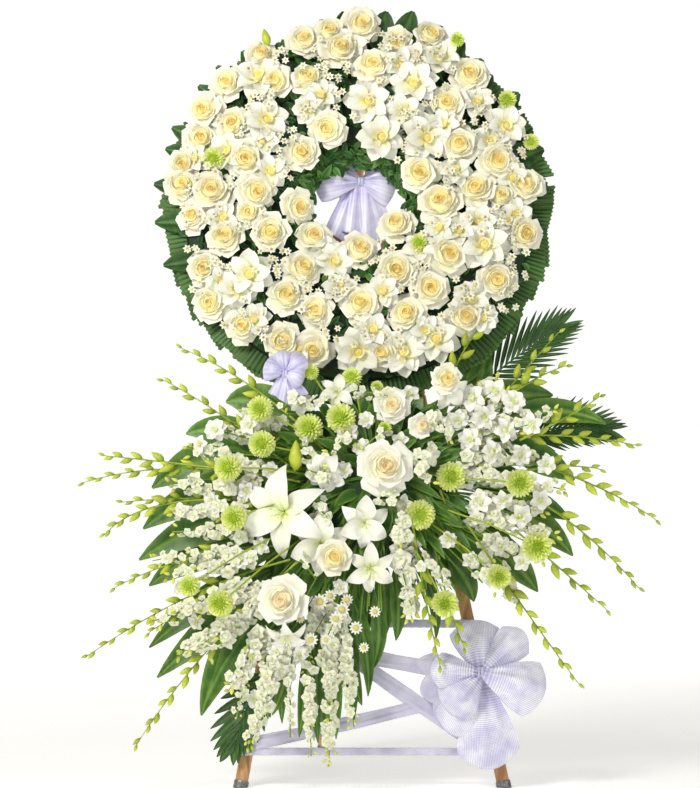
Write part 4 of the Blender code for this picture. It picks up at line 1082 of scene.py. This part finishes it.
green_bud = bud_shape()
stock_buds = pile()
stock_stems = pile()
for name, spikes, node_name in (
    ("stock_florets_left", STOCK_LEFT, "stock_left"),
    ("stock_florets_right", STOCK_RIGHT, "stock_right"),
    ("stock_florets_low", STOCK_LOW, "stock_low"),
    ("stock_florets_middle", STOCK_MIDDLE, None),
):
    heap = pile()
    low = name == "stock_florets_low"
    full, spacing, budding = (1.35, 2.4, 0.14) if low else (1.0, 3.0, 0.07)
    for start, tip, width in spikes:
        reach = spray_reach(seen_at(*tip, 0.13))
        near, far = (0.155, 0.096 + 0.17 * (reach - 0.1)) if node_name else (0.198, 0.205)
        bend = ((start[0] + tip[0]) / 2, (start[1] + tip[1]) / 2 - 3)
        line = bent_line(start, bend, tip, (near, far), 24)
        stem(stock_stems, line, 0.0028, 0.0012, dice.random(), 0.7)
        length = math.dist(start, tip)
        count = round(length * full * (width / 24) / spacing)
        for i in range(count):
            t = i / count
            place = on_line(line, t)
            ahead = (line[-1] - line[0]).normalized()
            turn = i * 2.4 + dice.uniform(-0.4, 0.4)
            first = ahead.cross(Vector((0, 1, 0))).normalized()
            out = first * math.cos(turn) + Vector((0, -1, 0)) * abs(math.sin(turn)) + ahead * 0.25
            if dice.random() < 0.10:
                continue
            taper = (1.0 - 0.40 * t) * dice.uniform(0.70, 1.20)
            away = place + out.normalized() * (width * PIXEL * dice.uniform(0.12, 0.46) * taper)
            out = out + Vector((dice.uniform(-0.5, 0.5), dice.uniform(-0.4, 0.1), dice.uniform(-0.5, 0.5)))
            if t > 0.88 or dice.random() < budding:
                spot = facing(away, out + ahead * 0.6, 0, width * PIXEL * 0.30)
                lay(stock_buds, green_bud, 0.5 + 0.3 * t, spot, dice.random(), closed=True)
            else:
                size = width * full * PIXEL * dice.uniform(0.25, 0.36) * taper
                floret(heap, away, out + Vector((0, -0.5, 0)), size, 0.10 * t)
    piece_from(heap, name, stock_skin, "white_petal", *([node_name] if node_name else []))


def bud_green():
    """The skin of closed buds: yellow-green, darker at the foot, with fine ribs along them."""
    material, tree, shader = finish_of("bud_green", 0.42)
    ribs = grained(tree, (160.0, 160.0, 160.0), 3.0)
    tone = toned(tree, ribs, 0.35, tinted(tree))
    colour = ramp(
        tree,
        tone,
        [
            (0.18, (0.13, 0.23, 0.02)), (0.50, (0.36, 0.46, 0.03)), (0.90, (0.60, 0.65, 0.06)),
            (1.2, (0.74, 0.74, 0.16)),
        ],
    )
    varied(tree, shader, colour, 0.8, 1.2)
    bumped(tree, shader, ribs, 0.2, 0.0008)
    return material


lime = bud_green()
for foot, tip in (((268, 46), (264, 29)), ((264, 56), (260, 42)), ((296, 470), (296, 440))):
    near, far = (0.10, 0.10) if foot[1] < 100 else (0.19, 0.20)
    start, end = seen_at(*foot, near), seen_at(*tip, far)
    lay(stock_buds, bud_shape(8), 0.5, facing(start, end - start, 0, (end - start).length), 0.6, closed=True)
piece_from(stock_buds, "stock_green_buds", lime, "lime_bud")
piece_from(stock_stems, "stock_stems", fresh_green, "green_leaf")


# Orchid bud stems: long arching stems with pointed yellow-green buds left and
# right, largest towards the flowers and tiny at the tip, which give the spray
# its feathery outline.
BUD_STEMS_LEFT = (
    ((300, 425), (240, 372), (183, 349)), ((300, 475), (222, 410), (165, 381)),
    ((300, 482), (175, 455), (85, 482)),
    ((215, 468), (150, 460), (106, 456)), ((300, 505), (200, 494), (124, 502)),
    ((230, 500), (140, 497), (106, 533)),
    ((290, 545), (190, 548), (116, 587)), ((290, 560), (190, 585), (89, 655)),
    ((290, 575), (195, 600), (150, 632)),
    ((300, 560), (200, 645), (137, 744)),
)
BUD_STEMS_RIGHT = (
    ((440, 405), (460, 345), (497, 306)), ((480, 425), (510, 385), (558, 333)),
    ((500, 402), (535, 376), (565, 366)),
    ((520, 440), (575, 415), (599, 397)), ((455, 441), (560, 428), (634, 445)),
    ((520, 472), (565, 462), (599, 469)),
    ((500, 455), (590, 475), (655, 519)), ((520, 490), (585, 525), (638, 587)),
    ((515, 530), (560, 568), (606, 609)),
)
BUD_STEMS_LOW = (
    ((468, 525), (520, 605), (578, 683)), ((440, 570), (452, 620), (464, 647)),
    ((412, 520), (425, 605), (440, 665)),
    ((440, 490), (452, 522), (464, 552)), ((425, 500), (435, 530), (436, 560)),
)
bud_stalks = pile()
for name, stems, node_name in (
    ("orchid_buds_left", BUD_STEMS_LEFT, "bud_stems_left"),
    ("orchid_buds_right", BUD_STEMS_RIGHT, "bud_stems_right"),
    ("orchid_buds_low", BUD_STEMS_LOW, "bud_stems_low"),
):
    heap = pile()
    for start, bend, tip in stems:
        reach = spray_reach(seen_at(*tip, 0.1))
        near, far = 0.165, 0.066 + 0.05 * reach
        if name == "orchid_buds_low":
            near, far = 0.185, 0.056 + 0.2 * (reach - 0.1)
        line = bent_line(start, bend, tip, (near, far), 30)
        stem(heap, line, 0.0027, 0.0009, dice.random(), 0.25)
        length = math.dist(start, bend) + math.dist(bend, tip)
        count = max(6, round(length / 14.5))
        for i in range(count):
            t = 0.30 + 0.70 * i / (count - 1)
            here = line[min(30, round(t * 30))]
            ahead = (line[min(30, round(t * 30) + 1)] - line[round(t * 30) - 1]).normalized()
            side = ahead.cross(Vector((0, 1, 0))).normalized() * (-1) ** i
            spread = 0.40 * (1 - t) + 0.24
            run = ahead + side * spread + Vector((0, -dice.uniform(0, 0.35), 0))
            size = (0.046 - 0.028 * t) * dice.uniform(0.85, 1.12) if i < count - 1 else 0.016
            foot = here + run.normalized() * size * 0.22
            stem(heap, [here, foot], 0.0010, 0.0010, 0.4, 0.3, sides=4)
            lay(
                heap,
                green_bud,
                np.linspace(0.15, 0.75, 6)[:, None],
                facing(foot, run, 0, size),
                dice.random(),
                closed=True,
            )
    piece_from(heap, name, lime, "lime_bud", node_name)


# Green button chrysanthemums: dense balls of narrow cupped petals on firm
# stalks, lime green at the heart and cream green at the rim, 28 to 64 mm wide.
BUTTONS = (
    (260, 409, 26), (262, 444, 27), (228, 468, 27), (234, 518, 26), (189, 586, 22), (220, 604, 27),
    (309, 428, 29),
    (341, 418, 30), (311, 372, 16), (352, 377, 20), (377, 387, 13), (385, 428, 14), (451, 477, 30),
    (420, 515, 30),
    (520, 483, 28), (537, 547, 30), (499, 577, 24), (445, 604, 27),
)
WREATH_BUTTONS = ((214, 159, 24), (507, 100, 20), (531, 142, 17), (457, 40, 16), (419, 243, 20))


def strap_place(share, side):
    across = 0.10 * side * (1 - 0.5 * (share == 1.0))
    return across, 0.10 * share * share + 0.04 * side * side, 0.45 + 0.56 * share


strap = sheet(3, 2, strap_place)
button_skin = petal_skin(
    "button_petal", (0.94, 0.96, 0.54), (0.84, 0.92, 0.28), (0.62, 0.76, 0.08), (0.26, 0.42, 0.03)
)


GOLDEN_TURN = 2.39996  # the angle from one petal of a spiral to the next


def button_bloom(heap, place, out, width):
    """A ball of strap petals laid in a spiral, shorter and greener towards the heart."""
    spot = facing(place, out, any_turn(), width / 2)
    core = bud_shape(10) * np.array([2.8, 2.8, 1.0]) + np.array([0, 0, -0.45])
    lay(heap, core, 0.85, spot, 0.5, closed=True)
    count = 150 if width > 0.05 else 100
    for i in range(count):
        h = 1.0 - 1.72 * (i + 0.5) / count
        flat = math.sqrt(max(0.0, 1.0 - h * h))
        turn = i * GOLDEN_TURN
        aim = Vector((flat * math.cos(turn), flat * math.sin(turn), h))
        heart_share = max(0.0, (h - 0.55) / 0.45)
        size = (1.0 - 0.42 * heart_share) * dice.uniform(0.94, 1.04)
        tint = np.array([0.95, 0.62, 0.30, 0.10])[:, None] + 0.55 * heart_share ** 1.5
        lay(heap, strap, tint, spot @ facing((0, 0, 0), aim, dice.uniform(-0.3, 0.3), size), dice.random())


buttons = pile()
for px, py, width in BUTTONS:
    front = heart_front(px, py) + width * PIXEL * 0.3
    place = seen_at(px, py, front)
    foot = seen_at(HEART_X + (px - HEART_X) * 0.45, HEART_Y + (py - HEART_Y) * 0.45, 0.165)
    out = (place - foot).normalized() * 0.35 + Vector((0, -1, 0.1))
    button_bloom(buttons, place, out, width * PIXEL)
    stem(bud_stalks, [foot, foot.lerp(place, 0.5) + Vector((0, 0, 0.006)), place], 0.0022, 0.0020, 0.4, 0.3)
piece_from(buttons, "button_blooms", button_skin, "white_petal")
piece_from(bud_stalks, "button_stalks", lime, "green_leaf")
small_buttons = pile()
for px, py, width in WREATH_BUTTONS:
    place, out, _ = wreath_seat(px, py, 0.010)
    button_bloom(small_buttons, place, out, width * PIXEL)
piece_from(small_buttons, "wreath_buttons", button_skin, "white_petal")


# The large roses of the spray: two of them full open and the rest half open, ivory
# with a peach heart, some with a collar of white pointed petals under them.
SPRAY_ROSES = {
    "rose_centre": (385, 468, 48, 1.0, True), "rose_top_left": (391, 406, 33, 0.6, True),
    "rose_top_right": (421, 426, 25, 0.0, False), "rose_low": (286, 601, 45, 1.0, False),
}
cream = petal_skin(
    "cream_rose_petal", (0.95, 0.94, 0.85), (0.95, 0.92, 0.74), (0.97, 0.86, 0.56), (0.97, 0.73, 0.42)
)
for name, (px, py, width, openness, collar) in SPRAY_ROSES.items():
    heap = pile()
    place = seen_at(px, py, heart_front(px, py) + 0.004)
    out = Vector(((px - HEART_X) * 0.003, -1.0, 0.15))
    spot = facing(place, out, any_turn(), width * PIXEL / 2)
    open_rose(heap, spot, rose_whorls(openness), 0.6)
    if collar:
        star_bloom(
            heap, spot @ Matrix.Translation((0, 0, -0.12)) @ Matrix.Scale(1.15, 4), second=False, warmth=0.8
        )
    piece_from(heap, name + "_petals", cream, "ivory_petal", name)
extra_roses = pile()
for px, py, width in ((446, 380, 28), (333, 559, 34)):
    spot = facing(
        seen_at(px, py, heart_front(px, py) + 0.020), Vector((0.1, -1.0, 0.2)), 0.4, width * PIXEL / 2
    )
    open_rose(extra_roses, spot, rose_whorls(0.0), 0.7)
piece_from(extra_roses, "half_open_roses", ivory, "ivory_petal")


# Lilies and star-shaped blooms: waxy white petals, six on each lily, that curve
# back from a green throat with pale filaments, at the front of the spray.
def lily_petal(width, rise, droop):
    """A long petal that leaves the throat along +X, with a keel, a wavy rim and a drooping tip."""

    def place(share, side):
        half = width / 2 * math.sin(math.pi * (0.10 + 0.90 * share ** 0.9)) ** 0.8 if share < 1.0 else 0.001
        height = rise * math.sin(share * 2.0) - droop * share ** 3
        keel = 0.10 * half * math.exp(-20 * side * side)
        wave = 0.022 * abs(side) * math.sin(share * 11 + side * 2)
        return 0.03 + 0.97 * share, half * side, height + 0.35 * half * side * side + keel + wave

    return sheet(12, 8, place)


FILAMENT = ((0.02, 0.05), (0.07, 0.25), (0.14, 0.42))
lily_skin = petal_skin(
    "lily_petal", (0.94, 0.94, 0.86), (0.93, 0.94, 0.78), (0.86, 0.90, 0.56), (0.56, 0.68, 0.18)
)
# Each bloom's heart, width, way it looks, how broad its petals are, how many they
# are, and whether its throat is green.
LILIES = {
    "lily_large": (284, 512, 94, (-0.35, -1.0, 0.10), 0.54, 6, True),
    "lily_low_left": (321, 543, 66, (-0.1, -1.0, 0.0), 0.72, 6, False),
    "lily_middle": (364, 522, 54, (0.1, -1.0, -0.1), 0.74, 6, False),
    "lily_low_middle": (370, 568, 54, (0.0, -1.0, -0.15), 0.56, 6, True),
    "lily_drooping": (287, 634, 46, (0.0, -0.7, -0.8), 0.58, 6, False),
    "star_bloom_left": (324, 470, 40, (0.1, -1.0, -0.2), 0.80, 5, False),
    "star_bloom_top": (337, 393, 40, (0.0, -1.0, 0.3), 0.60, 6, False),
    "star_bloom_right": (446, 388, 46, (0.2, -1.0, -0.2), 0.70, 6, False),
}
for name, (px, py, width, out, slim, count, green) in LILIES.items():
    heap = pile()
    place = seen_at(px, py, heart_front(px, py) + 0.012)
    spot = facing(place, out, 0.5 if green else dice.uniform(0, 1), width * PIXEL / 2)
    for layer in (0, 1):
        petal = lily_petal(slim * (1.0 if layer else 0.82), 0.30 + 0.05 * layer, 0.42)
        rib = np.exp(-60 * np.linspace(-1, 1, petal.shape[1]) ** 2)[None, :]
        tint = (0.92 if green else 0.6) * np.exp(-3.4 * np.linspace(0, 1, petal.shape[0]))[:, None]
        tint = tint + 0.34 * rib * (1 - np.linspace(0, 1, petal.shape[0]))[:, None]
        in_layer = count // 2 if count == 6 else count
        for i in range(in_layer):
            tip = tipped(0.12, 0.15)
            turn = Matrix.Rotation(2 * math.pi / in_layer * (i + 0.5 * layer), 4, "Z")
            lay(
                heap, petal, tint, spot @ Matrix.Translation((0, 0, 0.05 * layer)) @ turn @ tip, dice.random()
            )
    for i in range(6):
        angle = 2 * math.pi * i / 6 + 0.3
        points = [spot @ Vector((math.cos(angle) * r, math.sin(angle) * r, h)) for r, h in FILAMENT]
        stem(heap, points, 0.0011, 0.0009, 0.5, 0.75, sides=4)
        lay(heap, bud_shape(5), 0.8, facing(points[-1], points[-1] - points[-2], 0, 0.008), 0.5, closed=True)
    piece_from(heap, name + "_petals", lily_skin, "white_petal", name)


# Small white stars between the stock: freesia-like blooms of five rounded petals,
# 35 to 60 mm wide, each on a thin green stalk that goes back into the foam.
SPRAY_STARS = (
    (472, 398, 28), (495, 390, 26), (513, 402, 26), (484, 416, 28), (505, 430, 26), (531, 424, 24),
    (470, 440, 26),
    (492, 452, 26), (520, 455, 24), (546, 464, 22), (480, 502, 24), (520, 516, 26), (503, 500, 22),
    (541, 500, 22),
    (500, 546, 22), (522, 562, 20), (466, 480, 22), (430, 456, 22), (412, 545, 20), (347, 432, 24),
    (301, 404, 24),
    (250, 425, 22), (216, 430, 24), (200, 444, 18), (241, 560, 20), (262, 545, 20), (228, 640, 20),
    (255, 700, 20),
    (196, 622, 18), (181, 511, 18), (212, 500, 18), (340, 588, 18), (408, 592, 16), (300, 655, 18),
    (331, 478, 28),
    (436, 420, 22), (458, 420, 22), (400, 440, 18), (366, 420, 18), (362, 448, 20), (404, 504, 20),
    (398, 536, 18),
    (270, 470, 18), (246, 490, 20), (196, 480, 18), (206, 560, 18), (226, 590, 18), (268, 588, 18),
    (180, 590, 16),
    (250, 660, 18), (448, 540, 18), (470, 560, 18), (362, 398, 18), (410, 394, 20), (318, 520, 20),
    (344, 470, 18),
)
spray_stars, star_stalks = pile(), pile()
for px, py, width in SPRAY_STARS:
    far = max(0.0, spray_reach(seen_at(px, py, 0.15)) - 0.19)
    place = seen_at(px, py, min(heart_front(px, py) + 0.004, 0.185 - 0.12 * far))
    foot = seen_at(HEART_X + (px - HEART_X) * 0.6, HEART_Y + (py - HEART_Y) * 0.6, 0.150)
    out = Vector((dice.uniform(-0.5, 0.5) + (px - HEART_X) * 0.002, -1.0, dice.uniform(-0.4, 0.4)))
    spot = facing(place, out, any_turn(), width * PIXEL / 2)
    star_bloom(spray_stars, spot, petals=5, warmth=dice.random(), second=dice.random() < 0.5)
    stem(star_stalks, [foot, foot.lerp(place, 0.5) + Vector((0, 0, 0.004)), place], 0.0018, 0.0014, 0.5, 0.5)
piece_from(spray_stars, "spray_white_stars", lily_skin, "white_petal")
piece_from(star_stalks, "spray_star_stalks", fresh_green, "green_leaf")


# Small daisies low in the spray: open white flowers of about 30 mm with a dome
# of ochre at the heart, on thin stalks between the stock and the leaves.
DAISIES = (
    (320, 602, 18), (342, 610, 17), (336, 619, 16), (356, 628, 15), (311, 640, 16), (347, 600, 14),
    (330, 596, 14),
    (375, 612, 13), (300, 618, 13), (364, 648, 12), (326, 640, 13),
)
ray_petal = star_petal(0.85, 0.40, 0.10, 0.06, 0.3, rows=4, columns=2, point=0.7)
daisies, daisy_eyes, daisy_stalks = pile(), pile(), pile()
for px, py, width in DAISIES:
    place = seen_at(px, py, heart_front(px, py) + 0.006)
    spot = facing(place, (dice.uniform(-0.4, 0.4), -1.0, dice.uniform(-0.3, 0.4)), 0, width * PIXEL / 2)
    for i in range(11):
        lay(daisies, ray_petal, 0.06, spot @ Matrix.Rotation(2 * math.pi * i / 11, 4, "Z"), dice.random())
    lay(
        daisy_eyes, bud_shape(8) * np.array([1.6, 1.6, 0.5]) + np.array([0, 0, -0.08]), 0.8, spot, closed=True
    )
    foot = seen_at(px + (HEART_X - px) * 0.3, py - 34, 0.150)
    stem(daisy_stalks, [foot, foot.lerp(place, 0.5), place], 0.0012, 0.0010, 0.5, 0.4)
piece_from(daisies, "daisies", white, "white_petal")
piece_from(daisy_eyes, "daisy_eyes", ochre, "ivory_petal")
piece_from(daisy_stalks, "daisy_stalks", fresh_green, "green_leaf")


# The wrapped rails: two slats low between the front poles, each wound round and
# round with white ribbon, so that every turn overlaps the last by a half.
FEET_X = (-0.277, 0.282)
APEX_X, APEX_U = -0.0226, 1.466


def rail_end(side, u, out):
    """Where a rail lies on the front of one of the two front poles."""
    x = FEET_X[side] + (APEX_X - FEET_X[side]) * u / APEX_U
    depth = (0.0143 if side == 0 else -0.0143) * u / APEX_U + 0.014
    return on_front(x, u, depth + 0.0006 + out)


def ribbon_cloth(name, shade_of, lit, roughness, weave):
    """Pale lilac ribbon with a fine weave, its colour mixed by noise between a painted-shade grey lilac and a
    painted-lit lilac.
    """
    material, tree, shader = finish_of(name, roughness)
    threads = grained(tree, weave, 2.0)
    cloud = grained(tree, (22.0, 22.0, 22.0), 2.0)
    tone = toned(tree, threads, 0.35, cloud)
    colour = ramp(tree, tone, [(0.45, shade_of), (0.80, lit)])
    tree.links.new(colour, shader.inputs["Base Color"])
    shader.inputs["Sheen Weight"].default_value = 0.25
    bumped(tree, shader, threads, 0.25, 0.0006)
    return material


wrap_cloth = ribbon_cloth(
    "rail_wrap_cloth", (0.46, 0.45, 0.60), (0.68, 0.67, 0.82), 0.65, (90.0, 400.0, 700.0)
)


def wound_rail(name, u, height, spare, node_name):
    start, end = rail_end(0, u, 0.004), rail_end(1, u, 0.004)
    along = (end - start).normalized()
    start, end = start - along * spare, end + along * spare
    out = looking(0, 0).normalized()
    up = along.cross(out).normalized() * -1
    length = (end - start).length
    rows = []
    steps = round(length / 0.0028)
    for i in range(steps + 1):
        at = length * i / steps
        corners = []
        for j in range(16):
            angle = 2 * math.pi * j / 16
            # Each turn of the ribbon climbs over the one before it, on a slant round the slat.
            turn = ((at + 0.006 * math.sin(angle)) / 0.017) % 1.0
            thick = 0.0036 - 0.0010 * turn
            a, b = math.cos(angle), math.sin(angle)
            a, b = math.copysign(abs(a) ** 0.35, a), math.copysign(abs(b) ** 0.35, b)
            rise = up * (b * (height / 2 - 0.0036 + thick) * 0.98)
            corners.append(start + along * at + rise + out * (a * (0.0008 + thick)))
        rows.append(corners)
    for end_row, at in ((rows[0], start), (rows[-1], end)):
        flat = [at + (corner - at) * 0.2 for corner in end_row]
        rows.insert(0, flat) if at is start else rows.append(flat)
    heap = pile()
    lay(heap, np.array(rows), 0.5, closed=True)
    piece_from(heap, name, wrap_cloth, "ribbon_wrap", node_name)


wound_rail("wound_lower_rail", 0.074, 0.018, 0.010, "lower_crossbar")
wound_rail("wound_upper_rail", 0.347, 0.019, 0.012, "upper_crossbar")


# Net ribbon: a stiff open mesh of lilac-white threads, laced across the legs in
# three bands and tied in a large bow on the right leg. Light passes its holes.
def open_net(name, cell, thread, clear, lit, shade_of):
    """Net cloth: tint holds metres along the ribbon and vary metres across it."""
    material, tree, shader = finish_of(name, 0.6)
    walls = []
    for layer in ("tint", "vary"):
        wave = node(
            tree, "ShaderNodeMath", [(0, tinted(tree, layer)), (1, math.pi / cell)], operation="MULTIPLY"
        )
        wave = node(tree, "ShaderNodeMath", [(0, wave.outputs[0])], operation="SINE")
        walls.append(node(tree, "ShaderNodeMath", [(0, wave.outputs[0])], operation="ABSOLUTE").outputs[0])
    nearest = node(tree, "ShaderNodeMath", [(0, walls[0]), (1, walls[1])], operation="MINIMUM").outputs[0]
    tree.links.new(ranged(tree, nearest, 1.0, clear, thread, thread + 0.25), shader.inputs["Alpha"])
    # The colour is mixed by noise between a painted-shade lilac and a painted-lit lilac-white.
    cloud = grained(tree, (30.0, 30.0, 30.0), 3.0)
    colour = ramp(tree, cloud, [(0.35, shade_of), (0.62, lit)])
    tree.links.new(colour, shader.inputs["Base Color"])
    shader.inputs["Sheen Weight"].default_value = 0.3
    bumped(tree, shader, nearest, 0.3, 0.0006)
    return material


net_cloth = open_net("net_ribbon", 0.0036, 0.50, 0.52, (0.89, 0.89, 1.0), (0.66, 0.64, 0.88))
band_cloth = open_net("net_band", 0.0024, 0.70, 0.62, (0.66, 0.64, 0.82), (0.56, 0.54, 0.72))
sheer_cloth = open_net("net_veil", 0.0030, 0.55, 0.25, (0.74, 0.72, 0.88), (0.60, 0.58, 0.78))


def cloth_area(heap):
    """The area of the sheets in a pile, in square metres."""
    points = np.concatenate(heap["points"])
    faces = np.concatenate(heap["faces"])
    a, b, c, d = (points[faces[:, k]] for k in range(4))
    return float(np.linalg.norm(np.cross(c - a, d - b), axis=1).sum() / 2)


def cloth_piece(heap, name, material, slot, width, held, rests_on, *nodes):
    piece = piece_from(heap, name, material, slot, *nodes)
    cloth_area(heap) / width
    return piece


def lay_ribbon(heap, length, rows, columns, place):
    """A strip of ribbon: place gives each point and how far it is from the ribbon's middle line."""
    strip = sheet(rows, columns, place)
    along = np.linspace(0, length, rows + 1)[:, None]
    lay(heap, strip[..., :3], along, across=strip[..., 3].reshape(-1))


BANDS = (
    ("net_band_rising", (-0.262, 0.088), (0.205, 0.196), 0.030, 0.0240),
    ("net_band_cross", (-0.075, 0.300), (0.238, 0.083), 0.034, 0.0252),
    ("net_band_falling", (-0.205, 0.318), (0.200, 0.238), 0.034, 0.0264),
)
for name, (x0, u0), (x1, u1), width, depth in BANDS:
    heap = pile()
    length = math.dist((x0, u0), (x1, u1))
    nx, nu = -(u1 - u0) / length, (x1 - x0) / length

    def band_place(share, side):
        half = width / 2 * (0.97 + 0.03 * math.sin(share * 17))
        fold = 0.0009 * math.sin(side * 5.0 + share * 6.0) + 0.0006 * math.sin(side * 9.0 - share * 13.0)
        sag = -0.004 * math.sin(math.pi * share)
        x = x0 + (x1 - x0) * share + nx * side * half
        u = u0 + (u1 - u0) * share + nu * side * half + sag
        return *on_front(x, u, depth + 0.0004 + fold), side * half

    lay_ribbon(heap, length, 90, 12, band_place)
    legs = ["front_leg_left", "front_leg_right"]
    cloth_piece(heap, name + "_ribbon", band_cloth, "net_ribbon", width, "stretched", legs, name)


def ribbon_loop(heap, knot, angle, length, width, puff, ripple=0.12):
    """A gathered loop of ribbon: out from the knot at this angle, over and back under itself."""
    angle = math.radians(angle)
    inner = TO_FRONT @ knot

    def place(s, t):
        share = math.sin(math.pi * s) ** 0.75
        front = 1.0 if s < 0.5 else -0.45
        pleat = ripple * puff * math.cos(t * 10.0 + angle * 3) * (1.0 - 0.8 * share)
        swell = math.sin(math.pi * min(1.0, share * 0.93)) ** 0.8 * (1.0 - 0.85 * t * t)
        reach = length * share * (1.0 - 0.20 * t * t * share)
        across = t * width / 2 * (0.14 + 0.86 * math.sin(share * math.pi / 2))
        x = inner.x + reach * math.cos(angle) - across * math.sin(angle)
        u = inner.z + reach * math.sin(angle) + across * math.cos(angle)
        return *on_front(x, u, -inner.y + puff * front * swell + pleat), t * width / 2

    lay_ribbon(heap, 2.2 * length, 30, 24, place)


def ribbon_tail(heap, knot, angle, length, width, drop, ripple, gather=0.25):
    """A loose end of ribbon that widens from the knot and hangs in folds."""
    angle = math.radians(angle)
    inner = TO_FRONT @ knot

    def place(s, t):
        half = width / 2 * (gather + (1 - gather) * s ** 0.7)
        reach = length * s * (1.0 - 0.05 * t * t) + (0.010 * t if s == 1.0 else 0.0)
        x = inner.x + reach * math.cos(angle) - t * half * math.sin(angle)
        u = inner.z + reach * math.sin(angle) + t * half * math.cos(angle)
        fold = ripple * math.cos(t * 7.0 + angle * 2) * (1.0 - 0.3 * s)
        return *on_front(x, u, -inner.y + drop * s + fold), t * width / 2

    lay_ribbon(heap, length, 24, 16, place)


def ribbon_knot(heap, knot, width, height, bulge):
    """The band of ribbon drawn tight round the middle of a bow."""
    inner = TO_FRONT @ knot

    def place(s, t):
        angle = math.pi * (s - 0.5) * 1.5
        pinch = 1.0 - 0.25 * math.cos(t * 6)
        x = inner.x + t * width / 2 * (0.75 + 0.25 * abs(math.sin(angle)))
        u = inner.z + math.sin(angle) * height / 2
        return *on_front(x, u, -inner.y + math.cos(angle) * bulge * pinch), t * width / 2

    lay_ribbon(heap, height * 2, 12, 8, place)


net_bow = pile()
net_knot = seen_at(481, 674, 0.070)
outward = looking(0, 0)
for angle, length, width, puff, lift in (
    (98, 54, 50, 0.040, -0.012), (44, 60, 38, 0.034, 0.000), (-18, 66, 56, 0.054, 0.012),
    (176, 50, 36, 0.036, 0.006), (229, 50, 44, 0.042, -0.002), (-84, 94, 62, 0.022, -0.028),
    (-116, 66, 48, 0.024, -0.024),
):
    ribbon_loop(net_bow, net_knot + outward * lift, angle, length * PIXEL, width * PIXEL, puff)
ribbon_knot(net_bow, net_knot, 0.020, 0.030, 0.016)
cloth_piece(
    net_bow, "net_ribbon_bow", net_cloth, "net_ribbon", 0.12, "gathered", ["front_leg_right"], "net_bow"
)
veil = pile()
for turned, length, width, back in ((168, 64, 24, -0.032), (196, 62, 34, -0.030), (226, 62, 34, -0.030)):
    ribbon_loop(veil, net_knot + outward * back, turned, length * PIXEL, width * PIXEL, 0.010, 0.2)
cloth_piece(veil, "net_ribbon_veil", sheer_cloth, "net_ribbon", 0.12, "gathered", ["net_band_falling_ribbon"])


# Satin bows: pale lilac satin ribbon with a soft shine, one tied on the poles in
# the wreath's hole with two long tails, one pinned where the wreath meets the spray.
def satin():
    material, tree, shader = finish_of("satin_ribbon", 0.34)
    cloud = grained(tree, (16.0, 16.0, 16.0), 2.0)
    stripes = node(tree, "ShaderNodeMath", [(0, tinted(tree, "vary")), (1, 700.0)], operation="MULTIPLY")
    stripes = node(tree, "ShaderNodeMath", [(0, stripes.outputs[0])], operation="SINE")
    tone = toned(tree, stripes.outputs[0], 0.05, cloud)
    colour = ramp(
        tree, tone, [(0.32, (0.44, 0.42, 0.68)), (0.52, (0.66, 0.64, 0.88)), (0.72, (0.82, 0.81, 0.96))]
    )
    tree.links.new(colour, shader.inputs["Base Color"])
    shader.inputs["Sheen Weight"].default_value = 0.4
    shader.inputs["Specular IOR Level"].default_value = 0.6
    bumped(tree, shader, stripes.outputs[0], 0.08, 0.0004)
    return material


satin_cloth = satin()
hole_bow = pile()
hole_knot = seen_at(361, 182, 0.050)
for angle, length, width, puff, lift in (
    (176, 48, 48, 0.026, 0.0), (-8, 36, 44, 0.026, 0.0), (20, 56, 44, 0.018, -0.004),
    (150, 44, 36, 0.018, -0.006),
):
    ribbon_loop(hole_bow, hole_knot + outward * lift, angle, length * PIXEL, width * PIXEL, puff)
for angle, length, width, back in ((-106, 64, 46, -0.006), (-75, 64, 46, -0.003), (-91, 58, 38, 0.001)):
    ribbon_tail(
        hole_bow, hole_knot + outward * back, angle, length * PIXEL, width * PIXEL, -0.004, 0.003, gather=0.42
    )
ribbon_knot(hole_bow, hole_knot, 0.016, 0.020, 0.012)
cloth_piece(
    hole_bow,
    "satin_bow_in_hole",
    satin_cloth,
    "satin_ribbon",
    0.06,
    "gathered",
    ["front_leg_left"],
    "hole_bow",
)

side_bow = pile()
low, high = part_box("side_bow")
side_knot = seen_at(285, 373, -(TO_FRONT @ ((Vector(low) + Vector(high)) / 2)).y)
for angle, length, width, puff in (
    (165, 22, 26, 0.026), (40, 26, 22, 0.024), (-20, 20, 22, 0.024), (100, 22, 22, 0.022)
):
    ribbon_loop(side_bow, side_knot, angle, length * PIXEL, width * PIXEL, puff)
ribbon_tail(side_bow, side_knot, -105, 26 * PIXEL, 22 * PIXEL, -0.004, 0.003)
ribbon_tail(side_bow, side_knot, -60, 26 * PIXEL, 20 * PIXEL, -0.004, 0.003)
ribbon_knot(side_bow, side_knot, 0.014, 0.018, 0.012)
cloth_piece(
    side_bow,
    "satin_bow_below_wreath",
    satin_cloth,
    "satin_ribbon",
    0.05,
    "gathered",
    ["wreath_leaf_bed"],
    "side_bow",
)
